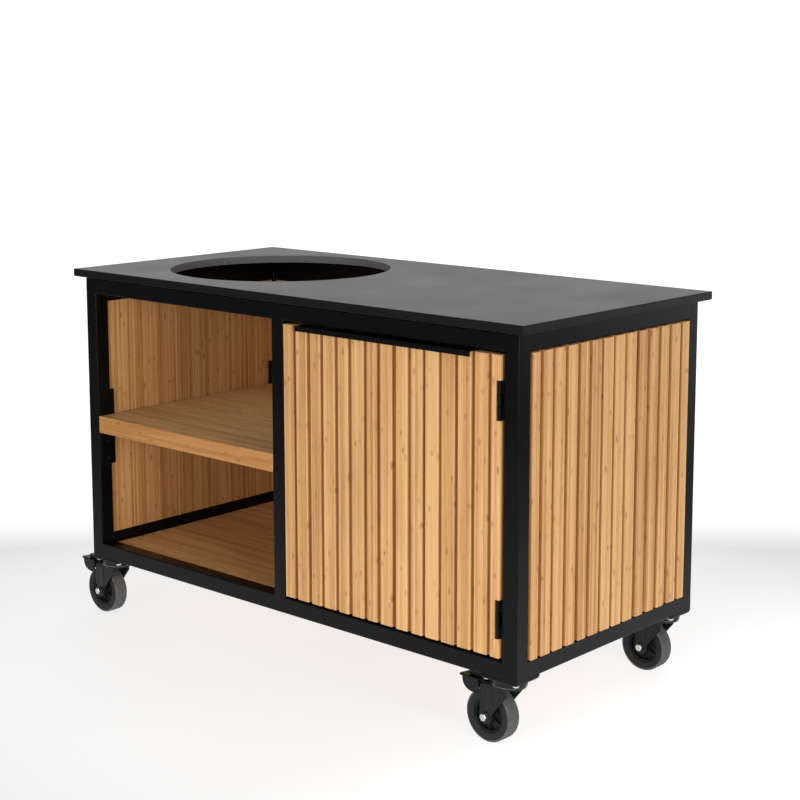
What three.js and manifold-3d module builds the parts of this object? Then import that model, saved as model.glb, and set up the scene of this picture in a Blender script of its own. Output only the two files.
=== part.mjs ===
// Kamado grill table on four braked swivel casters.
// A welded square tube frame carries a stone worktop with a round cut-out over an open bay
// with a shelf on the left, and a cupboard with a hinged door on the right.
// Millimetres. X runs to the right along the front, Y goes back from the front, Z is up.
// Pieces are placed from the frame's lower front left corner, and the finished table is
// moved so that its origin is the centre of its base, on the floor.

import * as THREE from 'three';
import { mergeVertices } from 'three/addons/utils/BufferGeometryUtils.js';
import Module from 'manifold-3d';

const wasm = await Module();
wasm.setup();

// Fits and cuts
const runningGap = 0.3;
const overrun = 5;
const weldOverlap = 1;

// Frame of square tube
const frameLength = 1450;
const frameDepth = 687;
const frameHeight = 756;
const tubeSize = 40;
const tubeWall = 2;
const tubeCornerRadius = 3;

// Worktop and the soft tape that beds it on the frame
const worktopEndOverhang = 25;
const worktopSideOverhang = 19;
const worktopThickness = 20;
const worktopEdgeBevel = 1.5;
const cutoutFrontClearance = 27;
const cutoutRearClearance = 2;
const tapeThickness = 4;
const tapeWidth = 30;

// Slatted bamboo walls, and the strips on the rails that hold their feet and heads
const wallThickness = 40;
const wallProud = 5.4;
const wallSideGap = 3.5;
const wallEndGap = 1.5;
const wallFirstSlat = 24;
const slatPitch = 45;
const grooveWidth = 10.5;
const grooveDepth = 8;
const slatEdgeChamfer = 1.5;
const stripThickness = 3;
const stripHeight = 23;

// Flat boards inside
const dividerThickness = 20;
const floorThickness = 20;
const floorDrop = 5;
const floorGap = 3.5;
const ledgeWidth = 18;
const ledgeThickness = 3;

// Shelf and its four brackets
const shelfUnderside = 344;
const shelfThickness = 45;
const bracketThickness = 3;
const bracketWidth = 45;
const bracketBottom = 255;
const bracketTop = 457;
const bracketFrontSetback = 5;
const bracketRearSetback = 22;
const bracketToeLength = 50;
const bracketToeWidth = 30;

// Door
const doorThickness = 22;
const doorGapLeft = 6;
const doorGapRight = 5;
const doorGapBottom = 7.5;
const doorGapTop = 6.5;
const doorFirstSlat = 33;
const stopTabReach = 20;
const stopTabThickness = 3;
const stopTabHeight = 40;

// Edge pull on the top of the door
const pullLength = 528;
const pullFromDoorLeft = 51;
const pullSheet = 1.5;
const pullLipHeight = 12;
const pullFingerGap = 11;
const pullTopDepth = 20;

// Door hinges, with the pin fixed in the frame leaf
const hingeHeight = 86;
const hingeBarrelRadius = 4.6;
const hingePinRadius = 2;
const hingeSheet = 1.5;
const hingeAxisFromDoorEdge = 5.5;
const hingeAxisBehindSlats = 3.9;
const hingeLeafDepth = 30;
const hingeFlangeLength = 45;
const lowerHingeFromDoorBottom = 86;
const upperHingeFromDoorTop = 98;

// Casters: foot plate of the frame, top plate and ball race
const casterInsetX = 50.3;
const casterInsetY = 42.4;
const footPlateLength = 100;
const footPlateWidth = 85;
const footPlateThickness = 4.3;
const plateLength = 100;
const plateWidth = 85;
const plateThickness = 3;
const plateCornerRadius = 8;
const plateBoltSpanX = 80;
const plateBoltSpanY = 60;
const plateBoltRadius = 7.5;
const plateBoltHeight = 10.5;
const raceRadius = 40;
const raceChamfer = 3;
const raceDepth = 13.7;
const kingPinRadius = 6;
const kingHeadRadius = 11;
const kingHeadHeight = 4;

// Casters: fork
const forkSheet = 3;
const forkInnerHalfWidth = 23.5;
const forkDishRadius = 38;
const forkDishDepth = 5.5;
const forkShoulderX = 26;
const forkTailX = 60.8;
const forkTailDrop = 30;
const forkNoseX = 12;
const forkNoseDrop = 44;
const forkThroatX = 23.8;
const forkThroatDrop = 88;
const forkThroatRise = 6;
const forkEyeRadius = 17.5;
const forkPanelThickness = 2;
const forkRibX = 33;
const forkRibHalfWidth = 3.5;
const forkRibHeight = 1.2;
const forkRibTopDrop = 33;

// Casters: wheel and axle bolt
const wheelTrail = 47;
const wheelRadius = 60.85;
const wheelWidth = 36.7;
const wheelDrop = 102.3;
const treadBevel = 2.3;
const treadThickness = 21;
const hubRimWidth = 31;
const hubRimThickness = 4;
const hubWebWidth = 14;
const hubBossRadius = 15;
const hubDraft = 2;
const axleRadius = 6;
const axleHeadRadius = 9.5;
const axleHeadHeight = 8;
const axleWasherRadius = 11;
const axleWasherThickness = 2;

// Casters: brake pedal
const pedalPivotX = 46;
const pedalPivotDrop = 35;
const pedalPinRadius = 4;
const pedalBossRadius = 6.5;
const pedalArmGap = 0.6;
const pedalArmThickness = 3.5;
const pedalArmRearX = 78;
const pedalArmDrop = 44;
const pedalCheekGap = 0.3;
const pedalCheekThickness = 4;
const pedalTop = 19;
const pedalPlateThickness = 4;
const pedalHeelX = 55;
const pedalShoulderX = 64.5;
const pedalToeX = 122;
const pedalToeNotch = 8;
const pedalCheekEndX = 110;
const pedalCheekFrontDrop = 46;
const pedalCheekLowX = 72;
const pedalCheekDrop = 54;
const pedalButtonFrontX = 68;
const pedalButtonRearX = 100;
const pedalButtonHalfWidth = 20;
const pedalButtonTop = 11;
const brakePadHalfWidth = 15;
const brakePadFrontX = 68;
const brakePadRearX = 86;
const brakePadLift = 6.5;

// Places worked out from the sizes above
const middleLeft = (frameLength - tubeSize) / 2;
const middleRight = middleLeft + tubeSize;
const rightPostLeft = frameLength - tubeSize;
const rearPostFront = frameDepth - tubeSize;
const topRailBottom = frameHeight - tubeSize;
const worktopBottom = frameHeight + tapeThickness;
const cutoutX = (tubeSize + middleLeft) / 2;
const cutoutFront = tubeSize + cutoutFrontClearance;
const cutoutBack = rearPostFront - cutoutRearClearance;
const cutoutY = (cutoutFront + cutoutBack) / 2;
const cutoutRadius = (cutoutBack - cutoutFront) / 2;
const wallInner = wallThickness - wallProud;
const doorLeft = middleRight + doorGapLeft;
const doorRight = rightPostLeft - doorGapRight;
const doorBottom = tubeSize + doorGapBottom;
const doorTop = topRailBottom - doorGapTop;
const doorBack = doorThickness - wallProud;
const hingeAxisX = doorRight - hingeAxisFromDoorEdge;
const hingeAxisY = hingeAxisBehindSlats - wallProud;
const plateTop = -footPlateThickness;
const plateBottom = plateTop - plateThickness;
const raceBottom = plateBottom - raceDepth;
const crownTop = raceBottom - runningGap;
const dishBottom = crownTop - forkDishDepth;
const forkOuterHalfWidth = forkInnerHalfWidth + forkSheet;
const forkPanelHalfWidth = forkOuterHalfWidth + forkPanelThickness;

// Facets of round shapes
const cutoutSegments = 44;
const tubeCornerSegments = 2;
const wheelSegments = 36;
const hubSegments = 24;
const raceSegments = 24;
const pinSegments = 16;
const hexSides = 6;

const table = new THREE.Group();

function addPiece(name, geometry, material) {
  const mesh = new THREE.Mesh(geometry, material);
  mesh.name = name;
  table.add(mesh);
}

// Materials
function blackSteel() {
  return new THREE.MeshStandardMaterial({ color: 0x1c1c1d, roughness: 0.55, metalness: 0.4 });
}

function zinc() {
  return new THREE.MeshStandardMaterial({ color: 0xb9bcbe, roughness: 0.35, metalness: 0.9 });
}

function greyStone() {
  return new THREE.MeshStandardMaterial({ color: 0x706e6b, roughness: 0.75, metalness: 0 });
}

function bamboo() {
  return new THREE.MeshStandardMaterial({ color: 0xe0b886, roughness: 0.6, metalness: 0 });
}

function shadedBamboo() {
  return new THREE.MeshStandardMaterial({ color: 0xb98a58, roughness: 0.6, metalness: 0 });
}

function greyTread() {
  return new THREE.MeshStandardMaterial({ color: 0x5c5c5e, roughness: 0.85, metalness: 0 });
}

function blackPlastic() {
  return new THREE.MeshStandardMaterial({ color: 0x18181a, roughness: 0.45, metalness: 0 });
}

// Solids: joins and cuts
function toSolid(geometry) {
  const bare = geometry.clone();
  bare.deleteAttribute('normal');
  bare.deleteAttribute('uv');
  const merged = mergeVertices(bare);
  return new wasm.Manifold(new wasm.Mesh({
    numProp: 3,
    vertProperties: merged.attributes.position.array,
    triVerts: new Uint32Array(merged.index.array),
  }));
}

function toGeometry(solid) {
  const mesh = solid.getMesh();
  const geometry = new THREE.BufferGeometry();
  geometry.setAttribute('position', new THREE.BufferAttribute(mesh.vertProperties, 3));
  geometry.setIndex(new THREE.BufferAttribute(mesh.triVerts, 1));
  geometry.computeVertexNormals();
  return geometry;
}

function join(...geometries) {
  return toGeometry(geometries.map(toSolid).reduce((whole, piece) => whole.add(piece)));
}

function cut(geometry, ...cutters) {
  const whole = toSolid(geometry);
  return toGeometry(cutters.map(toSolid).reduce((rest, cutter) => rest.subtract(cutter), whole));
}

// Basic shapes
function block([x0, y0, z0], [x1, y1, z1]) {
  const geometry = new THREE.BoxGeometry(x1 - x0, y1 - y0, z1 - z0);
  return geometry.translate((x0 + x1) / 2, (y0 + y1) / 2, (z0 + z1) / 2);
}

function outline(points) {
  return new THREE.Shape(points.map(([x, y]) => new THREE.Vector2(x, y)));
}

// A plan outline raised from one height to another.
function raise(shape, bottom, top, curveSegments = tubeCornerSegments) {
  const geometry = new THREE.ExtrudeGeometry(shape, {
    depth: top - bottom, bevelEnabled: false, curveSegments,
  });
  return geometry.translate(0, 0, bottom);
}

// An outline seen from the front, in X and Z, run back from one depth to another.
function runBack(shape, front, back, curveSegments = tubeCornerSegments) {
  return raise(shape, -back, -front, curveSegments).rotateX(Math.PI / 2);
}

function upright(radius, bottom, top, sides) {
  const geometry = new THREE.CylinderGeometry(radius, radius, top - bottom, sides);
  return geometry.rotateX(Math.PI / 2).translate(0, 0, (top + bottom) / 2);
}

// A cylinder along Y at the place X, Z.
function crossPin(radius, front, back, x, z, sides) {
  const geometry = new THREE.CylinderGeometry(radius, radius, back - front, sides);
  return geometry.translate(x, (front + back) / 2, z);
}

function roundedRectangle(width, depth, radius) {
  const x = width / 2;
  const y = depth / 2;
  const shape = new THREE.Shape();
  shape.moveTo(radius - x, -y);
  shape.absarc(x - radius, radius - y, radius, -Math.PI / 2, 0);
  shape.absarc(x - radius, y - radius, radius, 0, Math.PI / 2);
  shape.absarc(radius - x, y - radius, radius, Math.PI / 2, Math.PI);
  shape.absarc(radius - x, radius - y, radius, Math.PI, Math.PI * 1.5);
  return shape;
}

// Square tube, centred on Z and standing on the ground plane.
function tube(length) {
  const section = roundedRectangle(tubeSize, tubeSize, tubeCornerRadius);
  const bore = tubeSize / 2 - tubeWall;
  section.holes.push(outline([[-bore, -bore], [-bore, bore], [bore, bore], [bore, -bore]]));
  return raise(section, 0, length);
}

function postTube(x, y, bottom, top) {
  return tube(top - bottom).translate(x + tubeSize / 2, y + tubeSize / 2, bottom);
}

function lengthwiseTube(x0, x1, y, z) {
  return tube(x1 - x0).rotateY(Math.PI / 2).translate(x0, y + tubeSize / 2, z + tubeSize / 2);
}

function crosswiseTube(x, y0, y1, z) {
  return tube(y1 - y0).rotateX(-Math.PI / 2).translate(x + tubeSize / 2, y0, z + tubeSize / 2);
}

// Frame
// The four corners, each as the swivel axis of its caster.
const casterPlaces = [
  ['front_left', casterInsetX, casterInsetY],
  ['front_right', frameLength - casterInsetX, casterInsetY],
  ['rear_left', casterInsetX, frameDepth - casterInsetY],
  ['rear_right', frameLength - casterInsetX, frameDepth - casterInsetY],
];

// A corner post with the plate under its foot that the caster is bolted to.
function cornerPost(casterX, casterY) {
  const isLeft = casterX < middleLeft;
  const isFront = casterY < frameDepth / 2;
  const plateX = isLeft ? footPlateLength / 2 : frameLength - footPlateLength / 2;
  const plateY = isFront ? footPlateWidth / 2 : frameDepth - footPlateWidth / 2;
  const post = postTube(isLeft ? 0 : rightPostLeft, isFront ? 0 : rearPostFront, -weldOverlap, frameHeight);
  const plan = roundedRectangle(footPlateLength, footPlateWidth, tubeCornerRadius);
  return join(post, raise(plan, plateTop, 0).translate(plateX, plateY, 0));
}

function addPosts() {
  for (const [place, x, y] of casterPlaces) {
    addPiece(`post_${place}`, cornerPost(x, y), blackSteel());
  }
  const middle = postTube(middleLeft, 0, tubeSize, topRailBottom);
  addPiece('post_front_middle', join(middle, doorStopTab()), blackSteel());
  addPiece('post_rear_middle', postTube(middleLeft, rearPostFront, tubeSize, topRailBottom), blackSteel());
}

// The welded tab behind the free edge of the door, which stops it flush.
function doorStopTab() {
  const centre = (doorBottom + doorTop) / 2;
  const front = doorBack + runningGap;
  return block(
    [middleRight - weldOverlap, front, centre - stopTabHeight / 2],
    [middleRight + stopTabReach, front + stopTabThickness, centre + stopTabHeight / 2],
  );
}

// The two bays between the posts, as left and right ends.
const bays = [[tubeSize, middleLeft], [middleRight, rightPostLeft]];

// Strips welded inside the walls: at the foot on the bottom rails, at the head under the top rails.
const footStrip = [tubeSize - weldOverlap, tubeSize + stripHeight];
const headStrip = [topRailBottom - stripHeight, topRailBottom + weldOverlap];
const rightStripLeft = frameLength - wallInner - stripThickness;

// Strips on a rear rail, one in each bay.
function rearStrips([z0, z1]) {
  const y1 = frameDepth - wallInner;
  return bays.map(([x0, x1]) => block(
    [x0 + wallSideGap, y1 - stripThickness, z0],
    [x1 - wallSideGap, y1, z1],
  ));
}

// A strip on a left or right rail.
function sideStrip(x0, [z0, z1]) {
  return block(
    [x0, tubeSize + wallSideGap, z0],
    [x0 + stripThickness, rearPostFront - wallSideGap, z1],
  );
}

function addTopRails() {
  const frontTube = lengthwiseTube(tubeSize, rightPostLeft, 0, topRailBottom);
  addPiece('top_rail_front', frontTube, blackSteel());

  const rearTube = lengthwiseTube(tubeSize, rightPostLeft, rearPostFront, topRailBottom);
  addPiece('top_rail_rear', join(rearTube, ...rearStrips(headStrip)), blackSteel());

  const leftTube = crosswiseTube(0, tubeSize, rearPostFront, topRailBottom);
  addPiece('top_rail_left', join(leftTube, sideStrip(wallInner, headStrip)), blackSteel());

  const rightTube = crosswiseTube(rightPostLeft, tubeSize, rearPostFront, topRailBottom);
  addPiece('top_rail_right', join(rightTube, sideStrip(rightStripLeft, headStrip)), blackSteel());

  const middleTube = crosswiseTube(middleLeft, tubeSize, rearPostFront, topRailBottom);
  addPiece('top_rail_middle', middleTube, blackSteel());
}

const floorBottom = tubeSize - floorDrop - floorThickness;

// Ledges welded inside a lengthwise rail, one in each bay, that carry the floor boards.
function floorLedges(y0, y1) {
  return bays.map(([x0, x1]) => block([x0, y0, floorBottom - ledgeThickness], [x1, y1, floorBottom]));
}

function addBottomRails() {
  const frontTube = lengthwiseTube(tubeSize, rightPostLeft, 0, 0);
  const frontLedges = floorLedges(tubeSize - weldOverlap, tubeSize + ledgeWidth);
  addPiece('bottom_rail_front', join(frontTube, ...frontLedges), blackSteel());

  const rearTube = lengthwiseTube(tubeSize, rightPostLeft, rearPostFront, 0);
  const rearLedges = floorLedges(rearPostFront - ledgeWidth, rearPostFront + weldOverlap);
  addPiece('bottom_rail_rear', join(rearTube, ...rearLedges, ...rearStrips(footStrip)), blackSteel());

  const leftTube = crosswiseTube(0, tubeSize, rearPostFront, 0);
  addPiece('bottom_rail_left', join(leftTube, sideStrip(wallInner, footStrip)), blackSteel());

  const rightTube = crosswiseTube(rightPostLeft, tubeSize, rearPostFront, 0);
  addPiece('bottom_rail_right', join(rightTube, sideStrip(rightStripLeft, footStrip)), blackSteel());

  addPiece('bottom_rail_middle', crosswiseTube(middleLeft, tubeSize, rearPostFront, 0), blackSteel());
}

// Worktop
function addTape() {
  const inset = (tubeSize - tapeWidth) / 2;
  const sheet = block(
    [inset, inset, frameHeight],
    [frameLength - inset, frameDepth - inset, worktopBottom],
  );
  const windows = bays.map(([x0, x1]) => block(
    [x0 - inset, tubeSize - inset, frameHeight - overrun],
    [x1 + inset, rearPostFront + inset, worktopBottom + overrun],
  ));
  addPiece('worktop_tape', cut(sheet, ...windows), blackPlastic());
}

function addWorktop() {
  const edge = worktopEdgeBevel;
  const x0 = edge - worktopEndOverhang;
  const x1 = frameLength + worktopEndOverhang - edge;
  const y0 = edge - worktopSideOverhang;
  const y1 = frameDepth + worktopSideOverhang - edge;
  const plan = outline([[x0, y0], [x1, y0], [x1, y1], [x0, y1]]);
  const hole = new THREE.Path();
  hole.absarc(cutoutX, cutoutY, cutoutRadius + edge, 0, Math.PI * 2, true);
  plan.holes.push(hole);
  const geometry = new THREE.ExtrudeGeometry(plan, {
    depth: worktopThickness - 2 * edge,
    bevelThickness: edge,
    bevelSize: edge,
    bevelSegments: 1,
    curveSegments: cutoutSegments,
  });
  addPiece('worktop', geometry.translate(0, 0, worktopBottom + edge), greyStone());
}

// Slatted panels
// One outline in plan: along the panel from its start, and inwards from its slatted face.
// place(along, inward) gives the X and Y of a point.
function slattedPlan(width, thickness, firstSlat, place) {
  const points = [[0, thickness], [0, 0]];
  for (let start = firstSlat; start + grooveWidth < width; start += slatPitch) {
    const end = start + grooveWidth;
    points.push([start - slatEdgeChamfer, 0], [start, slatEdgeChamfer], [start, grooveDepth]);
    points.push([end, grooveDepth], [end, slatEdgeChamfer], [end + slatEdgeChamfer, 0]);
  }
  points.push([width, 0], [width, thickness]);
  return outline(points.map(([along, inward]) => place(along, inward)));
}

function addWalls() {
  const bottom = tubeSize + wallEndGap;
  const top = topRailBottom - wallEndGap;
  const sideStart = tubeSize + wallSideGap;
  const sideWidth = rearPostFront - tubeSize - 2 * wallSideGap;

  const leftPlan = slattedPlan(sideWidth, wallThickness, wallFirstSlat,
    (along, inward) => [inward - wallProud, sideStart + along]);
  addPiece('wall_left', raise(leftPlan, bottom, top), bamboo());

  const rightPlan = slattedPlan(sideWidth, wallThickness, wallFirstSlat,
    (along, inward) => [frameLength + wallProud - inward, sideStart + along]);
  addPiece('wall_right', raise(rightPlan, bottom, top), bamboo());

  const backNames = ['wall_back_left', 'wall_back_right'];
  bays.forEach(([x0, x1], bay) => {
    const backPlan = slattedPlan(x1 - x0 - 2 * wallSideGap, wallThickness, wallFirstSlat,
      (along, inward) => [x0 + wallSideGap + along, frameDepth + wallProud - inward]);
    addPiece(backNames[bay], raise(backPlan, bottom, top), bamboo());
  });
}

// Flat boards
function addInnerBoards() {
  const centre = (middleLeft + middleRight) / 2;
  addPiece('divider', block(
    [centre - dividerThickness / 2, tubeSize, tubeSize],
    [centre + dividerThickness / 2, rearPostFront, topRailBottom],
  ), shadedBamboo());

  const floorNames = ['floor_left', 'floor_right'];
  bays.forEach(([x0, x1], bay) => {
    addPiece(floorNames[bay], block(
      [x0 + floorGap, tubeSize + floorGap, floorBottom],
      [x1 - floorGap, rearPostFront - floorGap, floorBottom + floorThickness],
    ), shadedBamboo());
  });
}

// Shelf and brackets
// Each bracket plate lies on a post's inner face, as its near and far ends in depth,
// with the ends of the toe that reaches under the shelf.
const rearBracketEnd = frameDepth - bracketRearSetback;
const bracketRows = [
  {
    place: 'front',
    plate: [bracketFrontSetback, bracketFrontSetback + bracketWidth],
    toe: [bracketFrontSetback + bracketWidth - bracketToeWidth, bracketFrontSetback + bracketWidth],
  },
  {
    place: 'rear',
    plate: [rearBracketEnd - bracketWidth, rearBracketEnd],
    toe: [rearBracketEnd - bracketWidth, rearBracketEnd - bracketWidth + bracketToeWidth],
  },
];

function addBrackets() {
  const toeTop = shelfUnderside;
  const toeBottom = shelfUnderside - bracketThickness;
  for (const { place, plate, toe } of bracketRows) {
    const leftBracket = join(
      block([tubeSize, plate[0], bracketBottom], [tubeSize + bracketThickness, plate[1], bracketTop]),
      block([tubeSize, toe[0], toeBottom], [tubeSize + bracketToeLength, toe[1], toeTop]),
    );
    addPiece(`shelf_bracket_${place}_left`, leftBracket, blackSteel());

    const rightBracket = join(
      block([middleLeft - bracketThickness, plate[0], bracketBottom], [middleLeft, plate[1], bracketTop]),
      block([middleLeft - bracketToeLength, toe[0], toeBottom], [middleLeft, toe[1], toeTop]),
    );
    addPiece(`shelf_bracket_${place}_right`, rightBracket, blackSteel());
  }
}

// The board has a notch for each bracket plate in its two ends.
function addShelf() {
  const x0 = tubeSize + runningGap;
  const x1 = middleLeft - runningGap;
  const back = frameDepth - wallInner - runningGap;
  const board = block([x0, 0, shelfUnderside], [x1, back, shelfUnderside + shelfThickness]);
  const notchDepth = bracketThickness + runningGap;
  const notches = [];
  for (const { plate } of bracketRows) {
    const y0 = plate[0] - runningGap;
    const y1 = plate[1] + runningGap;
    const z0 = shelfUnderside - overrun;
    const z1 = shelfUnderside + shelfThickness + overrun;
    notches.push(block([tubeSize - overrun, y0, z0], [tubeSize + notchDepth, y1, z1]));
    notches.push(block([middleLeft - notchDepth, y0, z0], [middleLeft + overrun, y1, z1]));
  }
  addPiece('shelf', cut(board, ...notches), bamboo());
}

// Door
const hingeBottoms = [
  { place: 'lower', bottom: doorBottom + lowerHingeFromDoorBottom - hingeHeight / 2 },
  { place: 'upper', bottom: doorTop - upperHingeFromDoorTop - hingeHeight / 2 },
];
const hingeWebLeft = hingeAxisX - hingeBarrelRadius - hingeSheet;
const hingeNotchLeft = hingeWebLeft - runningGap;

function addDoor() {
  const plan = slattedPlan(doorRight - doorLeft, doorThickness, doorFirstSlat,
    (along, inward) => [doorLeft + along, inward - wallProud]);
  const notches = hingeBottoms.map(({ bottom }) => block(
    [hingeNotchLeft, -wallProud - overrun, bottom - runningGap],
    [doorRight + overrun, doorBack + overrun, bottom + hingeHeight + runningGap],
  ));
  addPiece('door', cut(raise(plan, doorBottom, doorTop), ...notches), bamboo());
}

// A bent sheet over the door's top edge, seen in Y and Z: a top flange, and a lip that hangs
// in front of the slats and leaves room for the fingers behind it.
function addDoorPull() {
  const lipFront = -wallProud - pullFingerGap - pullSheet;
  const top = doorTop + pullSheet;
  const lipBottom = top - pullLipHeight;
  const x0 = doorLeft + pullFromDoorLeft;
  const flange = block([x0, lipFront, doorTop], [x0 + pullLength, pullTopDepth - wallProud, top]);
  const lip = block([x0, lipFront, lipBottom], [x0 + pullLength, lipFront + pullSheet, top]);
  addPiece('door_pull', join(flange, lip), blackSteel());
}

// Hinges
function barrel(radius, bottom, top) {
  return upright(radius, bottom, top, pinSegments).translate(hingeAxisX, hingeAxisY, 0);
}

// The middle third of the barrel belongs to the door leaf.
function knuckleEnds(bottom) {
  const third = hingeHeight / 3;
  return [bottom + third, bottom + 2 * third];
}

function frameLeaf(bottom) {
  const top = bottom + hingeHeight;
  const [low, high] = knuckleEnds(bottom);
  const lowTop = low - runningGap;
  const highBottom = high + runningGap;
  const plateRight = rightPostLeft;
  const tailBack = hingeAxisY + hingeBarrelRadius;
  const tailFront = tailBack - hingeSheet;
  return join(
    barrel(hingeBarrelRadius, bottom, lowTop),
    barrel(hingeBarrelRadius, highBottom, top),
    barrel(hingePinRadius, bottom, top),
    block([hingeAxisX, tailFront, bottom], [plateRight, tailBack, lowTop]),
    block([hingeAxisX, tailFront, highBottom], [plateRight, tailBack, top]),
    block([plateRight - hingeSheet, tailFront, bottom], [plateRight, tailBack + hingeLeafDepth, top]),
  );
}

// The web runs back through the notch, and the flange lies behind the door.
function doorLeaf(bottom) {
  const top = bottom + hingeHeight;
  const [low, high] = knuckleEnds(bottom);
  const webRight = hingeWebLeft + hingeSheet;
  const flangeBack = doorBack + hingeSheet;
  const web = block([hingeWebLeft, hingeAxisY, bottom], [webRight, flangeBack, top]);
  const flange = block([webRight - hingeFlangeLength, doorBack, bottom], [webRight, flangeBack, top]);
  const tail = block([hingeWebLeft, hingeAxisY, low], [hingeAxisX, hingeAxisY + hingeBarrelRadius, high]);
  const knuckle = join(barrel(hingeBarrelRadius, low, high), tail);
  const bore = barrel(hingePinRadius + runningGap, low - overrun, high + overrun);
  return join(cut(knuckle, bore), web, flange);
}

function addHinges() {
  for (const { place, bottom } of hingeBottoms) {
    addPiece(`hinge_${place}_frame_leaf`, frameLeaf(bottom), blackSteel());
    addPiece(`hinge_${place}_door_leaf`, doorLeaf(bottom), blackSteel());
  }
}

// Casters
// Each is drawn round its swivel axis, with the frame's underside at the ground plane of the
// drawing and the wheel trailing to the left.
function turned(profile, segments) {
  const points = profile.map(([radius, height]) => new THREE.Vector2(radius, height));
  return new THREE.LatheGeometry(points, segments);
}

function casterPlate() {
  const plan = roundedRectangle(plateLength, plateWidth, plateCornerRadius);
  const raceTop = plateBottom + weldOverlap;
  const race = turned([
    [0, raceBottom],
    [raceRadius - raceChamfer, raceBottom],
    [raceRadius, raceBottom + raceChamfer],
    [raceRadius, raceTop],
    [0, raceTop],
  ], raceSegments).rotateX(Math.PI / 2);
  const headTop = dishBottom - runningGap;
  const kingPin = upright(kingPinRadius, headTop - weldOverlap, raceBottom + weldOverlap, pinSegments);
  const kingHead = upright(kingHeadRadius, headTop - kingHeadHeight, headTop, pinSegments);
  const bolts = [];
  for (const x of [-plateBoltSpanX / 2, plateBoltSpanX / 2]) {
    for (const y of [-plateBoltSpanY / 2, plateBoltSpanY / 2]) {
      const nut = upright(plateBoltRadius, plateBottom - plateBoltHeight, raceTop, hexSides);
      bolts.push(nut.translate(x, y, 0));
    }
  }
  return join(raise(plan, plateBottom, plateTop), race, kingPin, kingHead, ...bolts);
}

// The point where a line from outside touches a circle, on its left or right side as seen
// along the line towards the centre.
function tangentPoint([x, y], [cx, cy], radius, side) {
  const reach = Math.hypot(cx - x, cy - y);
  const towards = Math.atan2(y - cy, x - cx);
  const angle = towards + side * Math.acos(radius / reach);
  return [cx + radius * Math.cos(angle), cy + radius * Math.sin(angle)];
}

// One leg of the fork seen from the front: top edge, nose, throat, eye round the axle, tail
// and sloping shoulder.
function forkLegOutline() {
  const eye = [-wheelTrail, -wheelDrop];
  const throatAngle = Math.asin(forkThroatRise / forkEyeRadius);
  const tailAngle = Math.acos((wheelTrail - forkTailX) / forkEyeRadius);
  const shape = new THREE.Shape();
  shape.moveTo(-forkShoulderX, crownTop);
  shape.lineTo(forkNoseX, crownTop);
  shape.lineTo(forkNoseX, -forkNoseDrop);
  shape.lineTo(-forkThroatX, -forkThroatDrop);
  shape.absarc(...eye, forkEyeRadius, throatAngle, tailAngle, true);
  shape.lineTo(-forkTailX, -forkTailDrop);
  return shape;
}

// The raised panel pressed in the face of each leg, which stops above the axle.
function forkPanelOutline() {
  return outline([
    [-forkShoulderX, crownTop],
    [forkNoseX, crownTop],
    [forkNoseX, -forkNoseDrop],
    [-forkThroatX, -forkThroatDrop],
    [-forkTailX, -forkThroatDrop],
    [-forkTailX, -forkTailDrop],
  ]);
}

// The upright rib on the panel of the near leg, seen from above.
function forkRib() {
  const root = weldOverlap - forkPanelHalfWidth;
  const ridge = -forkPanelHalfWidth - forkRibHeight;
  const plan = outline([
    [-forkRibX - forkRibHalfWidth, ridge],
    [-forkRibX + forkRibHalfWidth, ridge],
    [-forkRibX + 2 * forkRibHalfWidth, root],
    [-forkRibX - 2 * forkRibHalfWidth, root],
  ]);
  return raise(plan, -forkThroatDrop, -forkRibTopDrop);
}

function casterFork() {
  const legShape = forkLegOutline();
  const panelShape = forkPanelOutline();
  const legFacets = pinSegments / 2;
  const panelRoot = forkOuterHalfWidth - weldOverlap;
  const whole = join(
    upright(forkDishRadius, dishBottom, crownTop, raceSegments),
    block(
      [-forkShoulderX, -forkOuterHalfWidth, crownTop - forkSheet],
      [forkNoseX, forkOuterHalfWidth, crownTop],
    ),
    runBack(legShape, -forkOuterHalfWidth, -forkInnerHalfWidth, legFacets),
    runBack(legShape, forkInnerHalfWidth, forkOuterHalfWidth, legFacets),
    runBack(panelShape, -forkPanelHalfWidth, -panelRoot),
    runBack(panelShape, panelRoot, forkPanelHalfWidth),
    forkRib(),
    forkRib().rotateZ(Math.PI).translate(-2 * forkRibX, 0, 0),
  );
  const reach = forkPanelHalfWidth + overrun;
  const pivot = [-pedalPivotX, -pedalPivotDrop];
  return cut(
    whole,
    upright(kingPinRadius + runningGap, dishBottom - overrun, crownTop + overrun, pinSegments),
    crossPin(axleRadius + runningGap, -reach, reach, -wheelTrail, -wheelDrop, pinSegments),
    crossPin(pedalPinRadius + runningGap, -reach, reach, ...pivot, pinSegments),
  );
}

function casterTyre() {
  const half = wheelWidth / 2;
  const inner = wheelRadius - treadThickness;
  return turned([
    [inner, -half],
    [wheelRadius - treadBevel, -half],
    [wheelRadius, treadBevel - half],
    [wheelRadius, half - treadBevel],
    [wheelRadius - treadBevel, half],
    [inner, half],
    [inner, -half],
  ], wheelSegments).translate(-wheelTrail, 0, -wheelDrop);
}

function casterHub() {
  const rimOuter = wheelRadius - treadThickness - runningGap;
  const rimInner = rimOuter - hubRimThickness;
  const bore = axleRadius + runningGap;
  const boss = forkInnerHalfWidth - runningGap;
  const rim = hubRimWidth / 2;
  const web = hubWebWidth / 2;
  return turned([
    [bore, -boss],
    [hubBossRadius, -boss],
    [hubBossRadius + hubDraft, -web],
    [rimInner - hubDraft, -web],
    [rimInner, -rim],
    [rimOuter, -rim],
    [rimOuter, rim],
    [rimInner, rim],
    [rimInner - hubDraft, web],
    [hubBossRadius + hubDraft, web],
    [hubBossRadius, boss],
    [bore, boss],
    [bore, -boss],
  ], hubSegments).translate(-wheelTrail, 0, -wheelDrop);
}

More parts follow.
